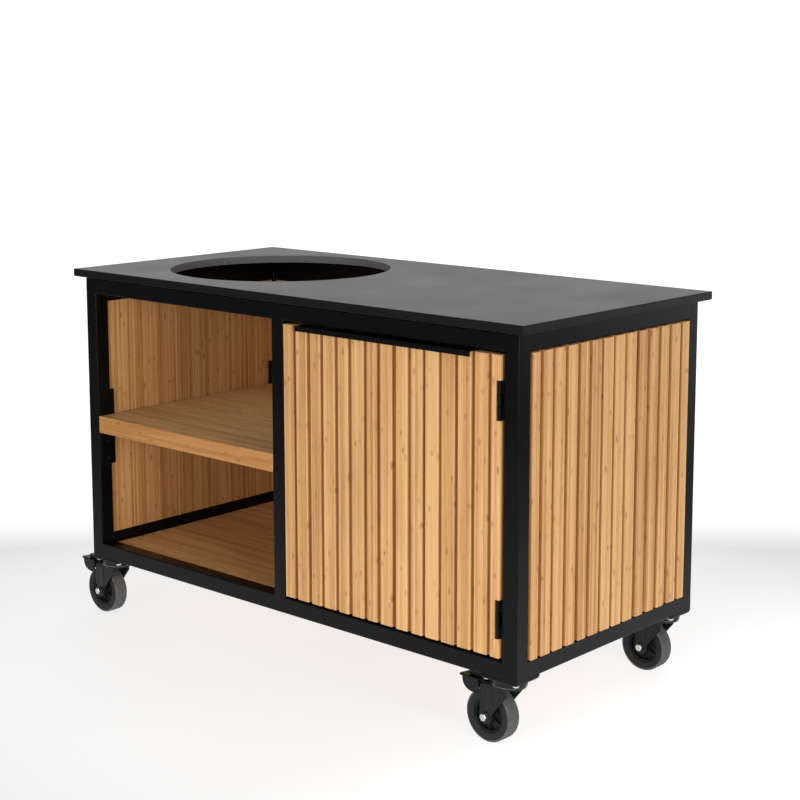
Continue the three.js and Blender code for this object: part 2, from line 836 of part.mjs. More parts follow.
function casterAxle() {
  const seat = forkOuterHalfWidth + runningGap;
  const washerEnd = seat + axleWasherThickness;
  const headEnd = washerEnd + axleHeadHeight;
  const at = [-wheelTrail, -wheelDrop];
  return join(
    crossPin(axleRadius, -washerEnd, washerEnd, ...at, pinSegments),
    crossPin(axleWasherRadius, -washerEnd, -seat, ...at, pinSegments),
    crossPin(axleWasherRadius, seat, washerEnd, ...at, pinSegments),
    crossPin(axleHeadRadius, -headEnd, weldOverlap - washerEnd, ...at, hexSides),
    crossPin(axleHeadRadius, washerEnd - weldOverlap, headEnd, ...at, hexSides),
  );
}

// One cheek of the pedal seen from the front, from the toe along the top to its upright front
// edge, and home along a rounded lower edge.
function pedalCheekOutline() {
  const toe = [-pedalCheekEndX, -pedalTop - pedalPlateThickness];
  const shape = new THREE.Shape();
  shape.moveTo(...toe);
  shape.lineTo(-pedalCheekEndX, -pedalTop);
  shape.lineTo(-pedalShoulderX, -pedalTop);
  shape.lineTo(-pedalShoulderX, -pedalCheekFrontDrop);
  shape.lineTo(-pedalCheekLowX, -pedalCheekDrop);
  shape.quadraticCurveTo(-pedalCheekEndX, -pedalCheekDrop, ...toe);
  return shape;
}

// One of the two arms that reach in between the legs of the fork to the pivot.
function pedalArmOutline() {
  const pivot = [-pedalPivotX, -pedalPivotDrop];
  const armTop = weldOverlap - pedalTop - pedalPlateThickness;
  const heel = [-pedalHeelX, armTop];
  const rear = [-pedalArmRearX, -pedalArmDrop];
  const frontTouch = tangentPoint(heel, pivot, pedalBossRadius, -1);
  const rearTouch = tangentPoint(rear, pivot, pedalBossRadius, 1);
  const startAngle = Math.atan2(frontTouch[1] - pivot[1], frontTouch[0] - pivot[0]);
  const endAngle = Math.atan2(rearTouch[1] - pivot[1], rearTouch[0] - pivot[0]);
  const shape = new THREE.Shape();
  shape.moveTo(-pedalArmRearX, armTop);
  shape.lineTo(...heel);
  shape.lineTo(...frontTouch);
  shape.absarc(...pivot, pedalBossRadius, startAngle, endAngle, true);
  shape.lineTo(...rear);
  return shape;
}

// The height of a circle round the wheel's axle, over the place X behind the swivel axis.
function heightOverWheel(radius, x) {
  return -wheelDrop + Math.sqrt(radius ** 2 - (x - wheelTrail) ** 2);
}

function casterPedal() {
  const armOuter = forkInnerHalfWidth - pedalArmGap;
  const armInner = armOuter - pedalArmThickness;
  const cheekInner = forkOuterHalfWidth + pedalCheekGap;
  const cheekOuter = cheekInner + pedalCheekThickness;
  const pedalBottom = -pedalTop - pedalPlateThickness;
  const plan = outline([
    [-pedalHeelX, -armOuter],
    [-pedalHeelX, armOuter],
    [-pedalShoulderX, armOuter],
    [-pedalShoulderX, cheekOuter],
    [-pedalToeX, cheekOuter],
    [pedalToeNotch - pedalToeX, 0],
    [-pedalToeX, -cheekOuter],
    [-pedalShoulderX, -cheekOuter],
    [-pedalShoulderX, -armOuter],
  ]);
  const padProfile = outline([
    [-brakePadFrontX, pedalBottom + weldOverlap],
    [-brakePadRearX, pedalBottom + weldOverlap],
    [-brakePadRearX, heightOverWheel(wheelRadius + brakePadLift, brakePadRearX)],
    [-brakePadFrontX, heightOverWheel(wheelRadius + brakePadLift, brakePadFrontX)],
  ]);
  const cheekShape = pedalCheekOutline();
  const armShape = pedalArmOutline();
  const facets = pinSegments / 2;
  const pivot = [-pedalPivotX, -pedalPivotDrop];
  return join(
    raise(plan, pedalBottom, -pedalTop),
    block(
      [-pedalButtonRearX, -pedalButtonHalfWidth, -pedalTop - weldOverlap],
      [-pedalButtonFrontX, pedalButtonHalfWidth, -pedalButtonTop],
    ),
    runBack(cheekShape, -cheekOuter, -cheekInner, facets),
    runBack(cheekShape, cheekInner, cheekOuter, facets),
    runBack(armShape, -armOuter, -armInner, facets),
    runBack(armShape, armInner, armOuter, facets),
    crossPin(pedalPinRadius, -forkPanelHalfWidth, forkPanelHalfWidth, ...pivot, pinSegments),
    runBack(padProfile, -brakePadHalfWidth, brakePadHalfWidth),
  );
}

function addCasters() {
  for (const [place, x, y] of casterPlaces) {
    const pieces = [
      ['plate', casterPlate(), zinc()],
      ['fork', casterFork(), blackSteel()],
      ['tyre', casterTyre(), greyTread()],
      ['hub', casterHub(), blackPlastic()],
      ['axle', casterAxle(), zinc()],
      ['pedal', casterPedal(), blackPlastic()],
    ];
    for (const [piece, geometry, material] of pieces) {
      addPiece(`caster_${place}_${piece}`, geometry.translate(x, y, 0), material);
    }
  }
}

// The origin goes to the centre of the base, on the floor.
function standOnFloor() {
  const box = new THREE.Box3().setFromObject(table);
  const centre = box.getCenter(new THREE.Vector3());
  table.position.set(-centre.x, -centre.y, -box.min.z);
}

addPosts();
addTopRails();
addBottomRails();
addTape();
addWorktop();
addWalls();
addInnerBoards();
addShelf();
addBrackets();
addDoor();
addDoorPull();
addHinges();
addCasters();
standOnFloor();

export default table;
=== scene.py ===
import math
import random

import bmesh
import bpy
from mathutils import Matrix, Vector


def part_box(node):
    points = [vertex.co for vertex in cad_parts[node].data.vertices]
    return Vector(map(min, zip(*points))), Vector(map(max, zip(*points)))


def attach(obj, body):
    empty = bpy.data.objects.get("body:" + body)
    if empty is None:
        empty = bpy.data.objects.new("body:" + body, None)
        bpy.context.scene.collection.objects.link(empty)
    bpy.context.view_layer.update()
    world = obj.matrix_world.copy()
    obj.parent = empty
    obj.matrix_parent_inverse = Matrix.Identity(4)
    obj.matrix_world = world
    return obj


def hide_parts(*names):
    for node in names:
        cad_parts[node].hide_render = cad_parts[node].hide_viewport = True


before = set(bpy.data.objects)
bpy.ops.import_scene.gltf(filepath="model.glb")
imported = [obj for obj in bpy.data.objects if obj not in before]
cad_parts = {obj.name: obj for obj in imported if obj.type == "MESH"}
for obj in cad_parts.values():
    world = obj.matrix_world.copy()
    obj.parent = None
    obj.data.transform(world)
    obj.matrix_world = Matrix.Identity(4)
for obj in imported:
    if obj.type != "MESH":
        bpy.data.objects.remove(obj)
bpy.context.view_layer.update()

X, Y, Z = 0, 1, 2
ORIGIN, UP, DOWN, SIDEWAYS = (0, 0, 0), (0, 0, 1), (0, 0, -1), (0, 1, 0)

# Facets of round shapes
CORNER_STEPS = 5
BEND_STEPS = 6
HOLE_STEPS = 160
TURN_STEPS = 72
SMALL_TURN_STEPS = 32
SCREW_STEPS = 24
PIN_STEPS = 16
HEX_SIDES = 6

# How far joined shapes reach into each other, and a length taken as nothing
EMBED = 0.0004
TINY = 1e-7

# Frame of square tube
TUBE_RADIUS, TUBE_WALL = 0.003, 0.002
STRIP_THICKNESS = 0.003
LEDGE_THICKNESS = 0.003
WALL_SLOT = 0.0035
TAB_HALF, TAB_GAP = 0.020, 0.0003
FOOT_THICKNESS = 0.0043

# Worktop
SLAB_ARRIS, ARRIS_SHOULDER = 0.0015, 0.35
HOLE_RADIUS, HOLE_SET_BACK = 0.289, 0.0125

# Slatted panels
SLAT_DEPTH = 0.0085
SLAT_EDGE = 0.0027
SLAT_END_BEVEL = 0.0007
SLAT_UNEVEN = 0.0004
BOARD_BEVEL = 0.00022
LINING_STRIP, LINING_UNEVEN = 0.0247, 0.008
SEAL_HALF = 0.0015

# Grooves, from the panel's left end in plan, as measured centres and widths
DOOR_GROOVES = [
    (0.0368, 0.0086), (0.0829, 0.0110), (0.1255, 0.0099), (0.1721, 0.0108),
    (0.2147, 0.0112), (0.2627, 0.0100), (0.3037, 0.0103), (0.3506, 0.0117),
    (0.3964, 0.0105), (0.4390, 0.0085), (0.4858, 0.0087), (0.5320, 0.0090),
    (0.5790, 0.0098), (0.6247, 0.0090),
]
SIDE_GROOVES = [
    (0.0302, 0.0117), (0.0734, 0.0094), (0.1194, 0.0122), (0.1645, 0.0132),
    (0.2065, 0.0109), (0.2518, 0.0094), (0.2971, 0.0098), (0.3416, 0.0098),
    (0.3883, 0.0138), (0.4335, 0.0134), (0.4777, 0.0108), (0.5219, 0.0133),
    (0.5678, 0.0118),
]
BACK_FIRST_GROOVE, BACK_PITCH, BACK_GROOVE = 0.02925, 0.045, 0.0105

# Flat boards
FLOOR_BOARDS, DIVIDER_BOARDS = 4, 5
SHELF_JOINT = 0.4085
NOTCH_DEPTH, NOTCH_GAP = 0.0033, 0.0003

# Shelf brackets and door pull
BRACKET_SHEET, BRACKET_CORNER = 0.003, 0.003
TOE_WIDTH, TOE_CORNER = 0.030, 0.006
BRACKET_SCREW, BRACKET_SCREW_INSET = 0.0042, 0.016
BRACKET_SCREW_DROPS = (0.024, 0.050)
PLATE_BEVEL = 0.0006
PULL_SHEET, PULL_FOLD = 0.0015, 0.0030

# Hinges
HINGE_RADIUS, HINGE_SHEET, HINGE_CORNER = 0.0046, 0.0015, 0.0015
HINGE_BORE, HINGE_PIN, BARREL_EDGE, BARREL_GAP = 0.0023, 0.002, 0.0007, 0.0003
HINGE_SCREW, HINGE_SCREW_INSET, LEAF_SCREW_INSET = 0.0035, 0.015, 0.012
FLANGE_SCREWS = (0.009, 0.030)
HINGE_BEVEL, DOOR_GAP = 0.0002, 0.0003

# Casters, drawn round the swivel axis with the frame's underside at height zero
PLATE_THICKNESS, PLATE_CORNER = 0.003, 0.008
PLATE_BOTTOM = -FOOT_THICKNESS - PLATE_THICKNESS
BOLT_X, BOLT_Y, BOLT_RADIUS = 0.040, 0.030, 0.0078
BOLT_WASHER, NUT_SHARE, NUT_HIGH = 0.0014, 0.92, 0.0042
STUD_SHARE, STUD_PROUD = 0.5, 0.0012
RACE_RADIUS, RACE_BOTTOM, RACE_RIM = 0.040, -0.0210, 0.0010
RACE_BEND, RACE_INSET = 0.003, 0.0006
DISH_RADIUS, CROWN_TOP, DISH_BOTTOM, DISH_EDGE = 0.038, -0.0213, -0.0268, 0.001
CROWN_REAR, CROWN_FRONT, CROWN_RADIUS = -0.026, 0.012, 0.0080
KING_RADIUS, KING_HEAD_RADIUS, KING_HEAD_HEIGHT, KING_CHAMFER = 0.006, 0.011, 0.004, 0.002
FORK_SHEET, FORK_INNER, FORK_OUTER, PANEL_OUTER = 0.003, 0.0235, 0.0265, 0.0285
FORK_FRONT_Z, FORK_KNEE, PANEL_BOTTOM = -0.044, (-0.0238, -0.088), -0.088
FORK_REAR = (-0.0608, -0.030)
PANEL_CORNERS = [0.002, 0.002, 0.006, 0.003, 0.004, 0.006]
EYE_RADIUS, EYE_START, EYE_END, EYE_STEPS = 0.0175, 20, -218, 28
RIB_X, RIB_RIDGE, RIB_ROOT, RIB_OUTER = -0.033, 0.0042, 0.0085, 0.0300
RIB_TOP, RIB_SLOPE = -0.033, 0.003
CUT_BEYOND, CUT_OVER = 0.010, 0.004
AXLE_X, AXLE_Z = -0.047, -0.1023
WHEEL_CENTRE = (AXLE_X, 0, AXLE_Z)
WHEEL_RADIUS, WHEEL_HALF = 0.06085, 0.01835
TREAD_THICKNESS, TYRE_SHOULDER, TYRE_LIP = 0.021, 0.0046, 0.0008
RIM_HALF, RIM_THICKNESS, WEB_HALF = 0.0155, 0.004, 0.007
BOSS_RADIUS, BOSS_HALF = 0.015, 0.0232
HUB_RIBS, HUB_RIB_HALF, HUB_RIB_OUT = 6, 0.0013, 0.0125
AXLE_RADIUS, HEAD_RADIUS, HEAD_HEIGHT, HEAD_TURN = 0.006, 0.0088, 0.008, 0.3
WASHER_RADIUS, WASHER_THICKNESS, SEAT_GAP = 0.011, 0.002, 0.0003
HOLE_GAP = 0.0003
PIVOT_X, PIVOT_Z, PIVOT_RADIUS = -0.046, -0.035, 0.004

# Brake pedals
ARM_INNER, ARM_OUTER = 0.0194, 0.0229
CHEEK_INNER, CHEEK_OUTER = 0.0268, 0.0308
PEDAL_TOP, PEDAL_BOTTOM = -0.019, -0.023
HEEL_X, WING_X, TOE_X, CHEEK_TOE_X = -0.055, -0.0645, -0.122, -0.110
CHEEK_HEEL_Z, CHEEK_KNEE, CHEEK_STEPS = -0.046, (-0.072, -0.054), 12
ARM_UPPER_Z, ARM_LOWER, ARM_STEPS = -0.022, (-0.078, -0.044), 14
PEDAL_NOTCH, PEDAL_BOSS = 0.008, 0.0065
PEDAL_CORNERS = [0.002, 0.002, 0, 0, 0.006, 0.020, 0.006, 0, 0]
PAD_FRONT, PAD_REAR, PAD_HALF, PAD_LIFT, PAD_STEPS = -0.068, -0.086, 0.015, 0.0065, 6
BUTTON_REAR, BUTTON_FRONT, BUTTON_HALF = -0.100, -0.068, 0.020
BUTTON_TOP, BUTTON_CORNER = -0.011, 0.006

# Bamboo's colours, and what tints the grooves (painted shade), the lining (its own tone with painted shade of
# the bays) and the boards' edges
BAMBOO_LIGHT = (0.700, 0.420, 0.182)
BAMBOO_MID = (0.580, 0.310, 0.118)
BAMBOO_DARK = (0.360, 0.165, 0.054)
KNUCKLE = (0.290, 0.120, 0.034)
SEAM = (0.200, 0.085, 0.028)
# Painted shade multiplied into the grooves' colour
GROOVE_PAINTED_SHADE = (0.64, 0.54, 0.43)
# The lining's own darker tone together with painted shade inside the bays and on the groove floors
LINING_TINT_AND_SHADE = (0.84, 0.77, 0.68)
EDGE_TINT = (0.74, 0.61, 0.45)

# Studio: directions in plan behind and beside the table, and how bright each part is
BEHIND, BESIDE = (-0.67, 0.74), (-0.74, -0.67)
FLOOR_HALF = 60
FLOOR_GLOW_BEHIND, FLOOR_GLOW_NEAR, FLOOR_GLOW_RIGHT = 1.00, 0.72, 1.02
BACKDROP, ROOM, OVERHEAD = 1.04, 0.22, 0.42
SOFTBOXES = [
    ("softbox_key", (0.3, -5.0, 1.15), (-0.1, 0, 0.55), (2.2, 1.5), 70),
    ("softbox_fill", (2.6, -4.3, 1.3), (0, 0, 0.55), (2.2, 1.5), 60),
    ("softbox_right", (4.4, -1.6, 1.15), (0.6, 0, 0.55), (2.0, 1.5), 96),
]


# Outlines
def clean_curve(points):
    """The points without neighbours that lie on each other."""
    kept = []
    for point in points:
        if not kept or (Vector(point) - Vector(kept[-1])).length > TINY:
            kept.append(point)
    if (Vector(kept[0]) - Vector(kept[-1])).length < TINY:
        kept.pop()
    return kept


def arc(cx, cy, radius, start, end, steps):
    """Points round a centre, from one angle to another in degrees."""
    angles = [math.radians(start + (end - start) * i / steps) for i in range(steps + 1)]
    return [(cx + radius * math.cos(a), cy + radius * math.sin(a)) for a in angles]


def rectangle(x0, y0, x1, y1):
    return [(x0, y0), (x1, y0), (x1, y1), (x0, y1)]


def rounded_rectangle(x0, y0, x1, y1, radius, steps):
    return (
        arc(x1 - radius, y0 + radius, radius, -90, 0, steps)
        + arc(x1 - radius, y1 - radius, radius, 0, 90, steps)
        + arc(x0 + radius, y1 - radius, radius, 90, 180, steps)
        + arc(x0 + radius, y0 + radius, radius, 180, 270, steps)
    )


def round_corners(points, radii, steps):
    """A closed outline with each corner rounded by its own radius; zero leaves it sharp."""
    result = []
    count = len(points)
    for i, (point, radius) in enumerate(zip(points, radii)):
        here = Vector(point)
        if radius <= 0:
            result.append(tuple(here))
            continue
        before = (Vector(points[i - 1]) - here).normalized()
        after = (Vector(points[(i + 1) % count]) - here).normalized()
        half = before.angle(after) / 2
        reach = radius / math.tan(half)
        centre = here + (before + after).normalized() * radius / math.sin(half)
        start = here + before * reach - centre
        turn = (here + after * reach - centre).angle_signed(start)
        for step in range(steps + 1):
            spin = Matrix.Rotation(turn * step / steps, 2)
            result.append(tuple(centre + spin @ start))
    return result


def tangent_point(point, centre, radius, side):
    """Where a line from a point touches a circle, on the chosen side."""
    reach = math.hypot(centre[0] - point[0], centre[1] - point[1])
    towards = math.atan2(point[1] - centre[1], point[0] - centre[0])
    angle = towards + side * math.acos(radius / reach)
    return (centre[0] + radius * math.cos(angle), centre[1] + radius * math.sin(angle))


# Placing a section's point (u, v) at w along each axis
def along_x(u, v, w):
    return (w, u, v)


def along_y(u, v, w):
    return (u, w, v)


def along_z(u, v, w):
    return (u, v, w)


class Shell:
    """Vertices and faces of one piece, with each face's material and each vertex's tone and painted shade."""

    def __init__(self):
        self.points = []
        self.faces = []
        self.kinds = []
        self.tones = []
        self.shades = []

    def add(self, points, faces, kind=0, tone=0.5, shades=None):
        """kind is one material number, or a list with one for each face."""
        base = len(self.points)
        self.points += [tuple(point) for point in points]
        self.tones += [tone] * len(points)
        self.shades += shades or [0.0] * len(points)
        self.faces += [[base + i for i in face] for face in faces]
        self.kinds += kind if isinstance(kind, list) else [kind] * len(faces)

    def prism(self, outline, low, high, place, kind=0, tone=0.5, end_kind=None, shade=None):
        """A closed outline swept from low to high. place(u, v, w) gives a point, shade(v) its painted shade."""
        outline = clean_curve(outline)
        n = len(outline)
        shades = [shade(v) for _, v in outline] * 2 if shade else None
        points = [place(u, v, w) for w in (low, high) for u, v in outline]
        sides = [[i, (i + 1) % n, n + (i + 1) % n, n + i] for i in range(n)]
        ends = [list(range(n)), list(range(n, 2 * n))]
        kinds = [kind] * n + [kind if end_kind is None else end_kind] * 2
        self.add(points, sides + ends, kinds, tone, shades)

    def tube(self, outer, inner, low, high, place):
        """A hollow section swept from low to high, open at both ends."""
        n = len(outer)
        points = [place(u, v, w) for w in (low, high) for outline in (outer, inner) for u, v in outline]
        faces = []
        for i in range(n):
            j = (i + 1) % n
            faces.append([i, j, 2 * n + j, 2 * n + i])
            faces.append([n + j, n + i, 3 * n + i, 3 * n + j])
            faces.append([j, i, n + i, n + j])
            faces.append([2 * n + i, 2 * n + j, 3 * n + j, 3 * n + i])
        self.add(points, faces)

    def turned(self, profile, centre, axis, steps, kinds=None, kind=0, closed=True):
        """A profile of (radius, height) pairs turned round an axis through a centre."""
        axis = Vector(axis).normalized()
        side = axis.orthogonal().normalized()
        if abs(axis.z) < 0.5:
            side = Vector(DOWN)
        other = axis.cross(side)
        centre = Vector(centre)
        rings = []
        points = []
        for radius, height in profile:
            middle = centre + axis * height
            if radius <= 0:
                rings.append([len(points)])
                points.append(middle)
                continue
            rings.append(list(range(len(points), len(points) + steps)))
            for i in range(steps):
                angle = math.tau * i / steps
                points.append(middle + (side * math.cos(angle) + other * math.sin(angle)) * radius)
        faces = []
        face_kinds = []
        for s in range(len(profile) if closed else len(profile) - 1):
            a, b = rings[s], rings[(s + 1) % len(profile)]
            for i in range(steps):
                j = (i + 1) % steps
                corners = [a[i % len(a)], a[j % len(a)], b[j % len(b)], b[i % len(b)]]
                corners = list(dict.fromkeys(corners))
                if len(corners) > 2:
                    faces.append(corners)
                    face_kinds.append(kinds[s] if kinds else kind)
        self.add(points, faces, face_kinds)

    def hexagon(self, centre, axis, radius, height, turn=0.0):
        """A hexagon head with chamfered corners, from its seat up."""
        axis = Vector(axis).normalized()
        side = axis.orthogonal().normalized()
        other = axis.cross(side)
        centre = Vector(centre)
        chamfer = radius * 0.13
        points = []
        for r, h in ((radius, 0), (radius, height - chamfer * 0.6), (radius - chamfer, height)):
            for i in range(HEX_SIDES):
                angle = math.tau * i / HEX_SIDES + turn
                spoke = side * math.cos(angle) + other * math.sin(angle)
                points.append(centre + axis * h + spoke * r)
        faces = [list(range(HEX_SIDES)), list(range(2 * HEX_SIDES, 3 * HEX_SIDES))]
        for a in (0, HEX_SIDES):
            for i in range(HEX_SIDES):
                j = (i + 1) % HEX_SIDES
                faces.append([a + i, a + j, a + HEX_SIDES + j, a + HEX_SIDES + i])
        self.add(points, faces)

    def screw(self, centre, axis, radius):
        """A low domed screw head with a socket."""
        h = radius * 0.55
        socket = radius * 0.42
        profile = [(0, h * 0.35), (socket, h * 0.35), (socket, h)]
        for step in range(1, 6):
            angle = math.pi / 2 * step / 5
            profile.append((socket + radius * 0.58 * math.sin(angle), h * (0.25 + 0.75 * math.cos(angle))))
        profile += [(radius, 0), (0, 0)]
        self.turned(profile, centre, axis, SCREW_STEPS, closed=False)


# Pieces
def mesh_from(title, shell):
    """A mesh of the shell's points and faces, with all faces turned outwards."""
    mesh = bpy.data.meshes.new(title)
    mesh.from_pydata(shell.points, [], shell.faces)
    for polygon, kind in zip(mesh.polygons, shell.kinds):
        polygon.material_index = kind
    for name, values in (("tone", shell.tones), ("shade", shell.shades)):
        mesh.attributes.new(name, "FLOAT", "POINT").data.foreach_set("value", values)
    builder = bmesh.new()
    builder.from_mesh(mesh)
    bmesh.ops.recalc_face_normals(builder, faces=builder.faces)
    builder.to_mesh(mesh)
    builder.free()
    return mesh


def add_object(title, data):
    thing = bpy.data.objects.new(title, data)
    bpy.context.scene.collection.objects.link(thing)
    return thing


def finish_piece(title, mesh, materials, body, stands_for, smooth, bevel, bevel_steps=2, bevel_angle=0):
    """An object with softened edges and flat broad faces, riding on its body."""
    for material in materials:
        mesh.materials.append(material)
    mesh.polygons.foreach_set("use_smooth", [True] * len(mesh.polygons))
    mesh.set_sharp_from_angle(angle=math.radians(smooth))
    piece = add_object(title, mesh)
    if bevel > 0:
        edge = piece.modifiers.new("edge", "BEVEL")
        edge.width = bevel
        edge.segments = bevel_steps
        edge.limit_method = "ANGLE"
        edge.angle_limit = math.radians(bevel_angle or smooth)
    piece.modifiers.new("normals", "WEIGHTED_NORMAL").keep_sharp = True
    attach(piece, body)
    if stands_for:
        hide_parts(*stands_for)


def make_piece(title, shell, materials, body, stands_for=(), smooth=35, bevel=0, bevel_steps=2):
    mesh = mesh_from(title, shell)
    finish_piece(title, mesh, materials, body, stands_for, smooth, bevel, bevel_steps)


# Materials
class Field:
    """A shader value, so that sums, products and powers make Math nodes."""

    def __init__(self, graph, socket):
        self.graph = graph
        self.socket = socket

    def __add__(self, other):
        return self.graph.math("ADD", self, other)

    def __sub__(self, other):
        return self.graph.math("SUBTRACT", self, other)

    def __mul__(self, other):
        return self.graph.math("MULTIPLY", self, other)

    def __truediv__(self, other):
        return self.graph.math("DIVIDE", self, other)

    def __pow__(self, other):
        return self.graph.math("POWER", self, other)


class Graph:
    """A node tree, with short calls for the nodes used here."""

    def __init__(self, tree):
        self.tree = tree

    def node(self, kind, **inputs):
        node = self.tree.nodes.new("ShaderNode" + kind)
        for name, value in inputs.items():
            self.put(node.inputs[name.replace("_", " ")], value)
        return node

    def put(self, socket, value):
        if isinstance(value, Field):
            self.tree.links.new(value.socket, socket)
        elif socket.type == "RGBA":
            socket.default_value = (*value, 1)
        else:
            socket.default_value = value

    def results(self, node):
        return {output.name: Field(self, output) for output in node.outputs}

    def place(self, kind="Object"):
        return self.results(self.node("TexCoord"))[kind]

    def split(self, vector):
        node = self.node("SeparateXYZ")
        self.put(node.inputs[0], vector)
        return list(self.results(node).values())

    def vector(self, x, y, z):
        return self.results(self.node("CombineXYZ", X=x, Y=y, Z=z))["Vector"]

    def math(self, kind, *values):
        node = self.node("Math")
        node.operation = kind
        for socket, value in zip(node.inputs, values):
            self.put(socket, value)
        return Field(self, node.outputs[0])

    def noise(self, vector, scale, detail=3, roughness=0.55):
        node = self.node("TexNoise", Vector=vector, Scale=scale, Detail=detail, Roughness=roughness)
        return Field(self, node.outputs["Fac"])

    def cells(self, vector, scale):
        return self.results(self.node("TexVoronoi", Vector=vector, Scale=scale))

    def chance(self, x, y, z):
        """Random numbers that are the same wherever x, y and z are."""
        node = self.node("TexWhiteNoise")
        node.noise_dimensions = "3D"
        self.put(node.inputs["Vector"], self.vector(x, y, z))
        return self.results(node)

    def remap(self, value, low, high, to_low=0.0, to_high=1.0, smooth=False):
        node = self.node("MapRange")
        node.interpolation_type = "SMOOTHSTEP" if smooth else "LINEAR"
        ends = {"Value": value, "From Min": low, "From Max": high, "To Min": to_low, "To Max": to_high}
        for name, number in ends.items():
            self.put(node.inputs[name], number)
        return Field(self, node.outputs["Result"])

    def blend(self, amount, first, second, kind="MIX"):
        node = self.node("Mix")
        node.data_type = "RGBA"
        node.blend_type = kind
        self.put(node.inputs["Factor"], amount)
        self.put(node.inputs[6], first)
        self.put(node.inputs[7], second)
        return Field(self, node.outputs[2])

    def ramp(self, value, stops):
        node = self.node("ValToRGB")
        self.put(node.inputs[0], value)
        elements = node.color_ramp.elements
        while len(elements) < len(stops):
            elements.new(0.5)
        for element, (position, color) in zip(elements, stops):
            element.position = position
            element.color = (*color, 1)
        return Field(self, node.outputs["Color"])


class Material(Graph):
    """A material with one surface shader."""

    def __init__(self, name):
        self.material = bpy.data.materials.new(name)
        self.material.use_nodes = True
        super().__init__(self.material.node_tree)
        self.tree.nodes.clear()
        self.surface = self.node("BsdfPrincipled")
        output = self.node("OutputMaterial")
        self.tree.links.new(self.surface.outputs["BSDF"], output.inputs["Surface"])

    def attribute(self, name):
        node = self.node("Attribute")
        node.attribute_name = name
        return Field(self, node.outputs["Fac"])

    def edge_mask(self, radius, low, high):
        """0 on open faces and 1 along edges, from how a bevelled normal turns away."""
        bevel = self.node("Bevel", Radius=radius)
        bevel.samples = 4
        dot = self.node("VectorMath")
        dot.operation = "DOT_PRODUCT"
        self.put(dot.inputs[0], Field(self, bevel.outputs[0]))
        self.put(dot.inputs[1], self.results(self.node("NewGeometry"))["Normal"])
        return self.remap(self.results(dot)["Value"], 1 - low, 1 - high, smooth=True)

    def bump(self, height, strength, distance):
        node = self.node("Bump", Strength=strength, Distance=distance, Height=height)
        self.put(self.surface.inputs["Normal"], Field(self, node.outputs[0]))

    def finish(self, color, roughness, **fixed):
        self.put(self.surface.inputs["Base Color"], color)
        self.put(self.surface.inputs["Roughness"], roughness)
        for name, value in fixed.items():
            self.surface.inputs[name.replace("_", " ")].default_value = value
        return self.material


def powder_coat(name, dark, light, specular):
    """Matt black powder coat: fine orange peel, faint patches, and a painted highlight along edges."""
    n = Material(name)
    where = n.place()
    peel = n.noise(where, 900, 2)
    patches = n.noise(where, 7, 4)
    dust = n.noise(where, 160, 3)
    edge = n.edge_mask(0.0012, 0.02, 0.25)
    color = n.ramp(patches * 0.6 + dust * 0.4, [(0.3, dark), (0.72, light)])
    # Painted highlight: much lighter colour along the rounded edges
    color = n.blend(edge * 0.6, color, tuple(c * 2.6 for c in light))
    rough = n.remap(n.noise(where, 40, 4), 0.3, 0.7, 0.22, 0.28) - edge * 0.12
    n.bump(peel + dust * 0.4, 0.3, 0.0001)
    return n.finish(color, rough, Specular_IOR_Level=specular)


def plated_zinc(name):
    """Bright zinc plate: pale metal with cloudy passivation and fine scratches."""
    n = Material(name)
    where = n.place()
    cloud = n.noise(where, 60, 4)
    x, y, z = n.split(where)
    scratch = n.noise(n.vector(x * 40, y * 900, z * 900), 1, 2)
    color = n.ramp(cloud, [(0.3, (0.50, 0.51, 0.53)), (0.7, (0.72, 0.72, 0.70))])
    rough = n.remap(cloud + scratch, 0.6, 1.4, 0.24, 0.44)
    n.bump(scratch, 0.15, 0.0001)
    return n.finish(color, rough, Metallic=1.0)


def stone(name, dark, light, fleck, rough_low, rough_high, specular, grit):
    """Fine-grained stone: speckled minerals over soft clouds, with a lightly pitted skin."""
    n = Material(name)
    where = n.place()
    cloud = n.noise(where, 5, 5)
    fine = n.noise(where, 420, 4, 0.7)
    color = n.ramp(cloud * 0.35 + fine * 0.65, [(0.32, dark), (0.68, light)])
    grain = n.split(n.cells(where, 760)["Color"])[0]
    color = n.blend(n.remap(grain, 0.78, 0.95, 0, 0.45), color, fleck)
    spot = n.split(n.cells(where, 320)["Color"])[1]
    color = n.blend(n.remap(spot, 0.86, 0.97, 0, 0.4), color, tuple(c * 0.5 for c in dark))
    edge = n.edge_mask(0.0016, 0.02, 0.3)
    color = n.blend(edge * 0.25, color, fleck)
    rough = n.remap(cloud + fine, 0.7, 1.3, rough_low, rough_high)
    n.bump(fine + grain * 0.5, 0.4, grit)
    return n.finish(color, rough, Specular_IOR_Level=specular)


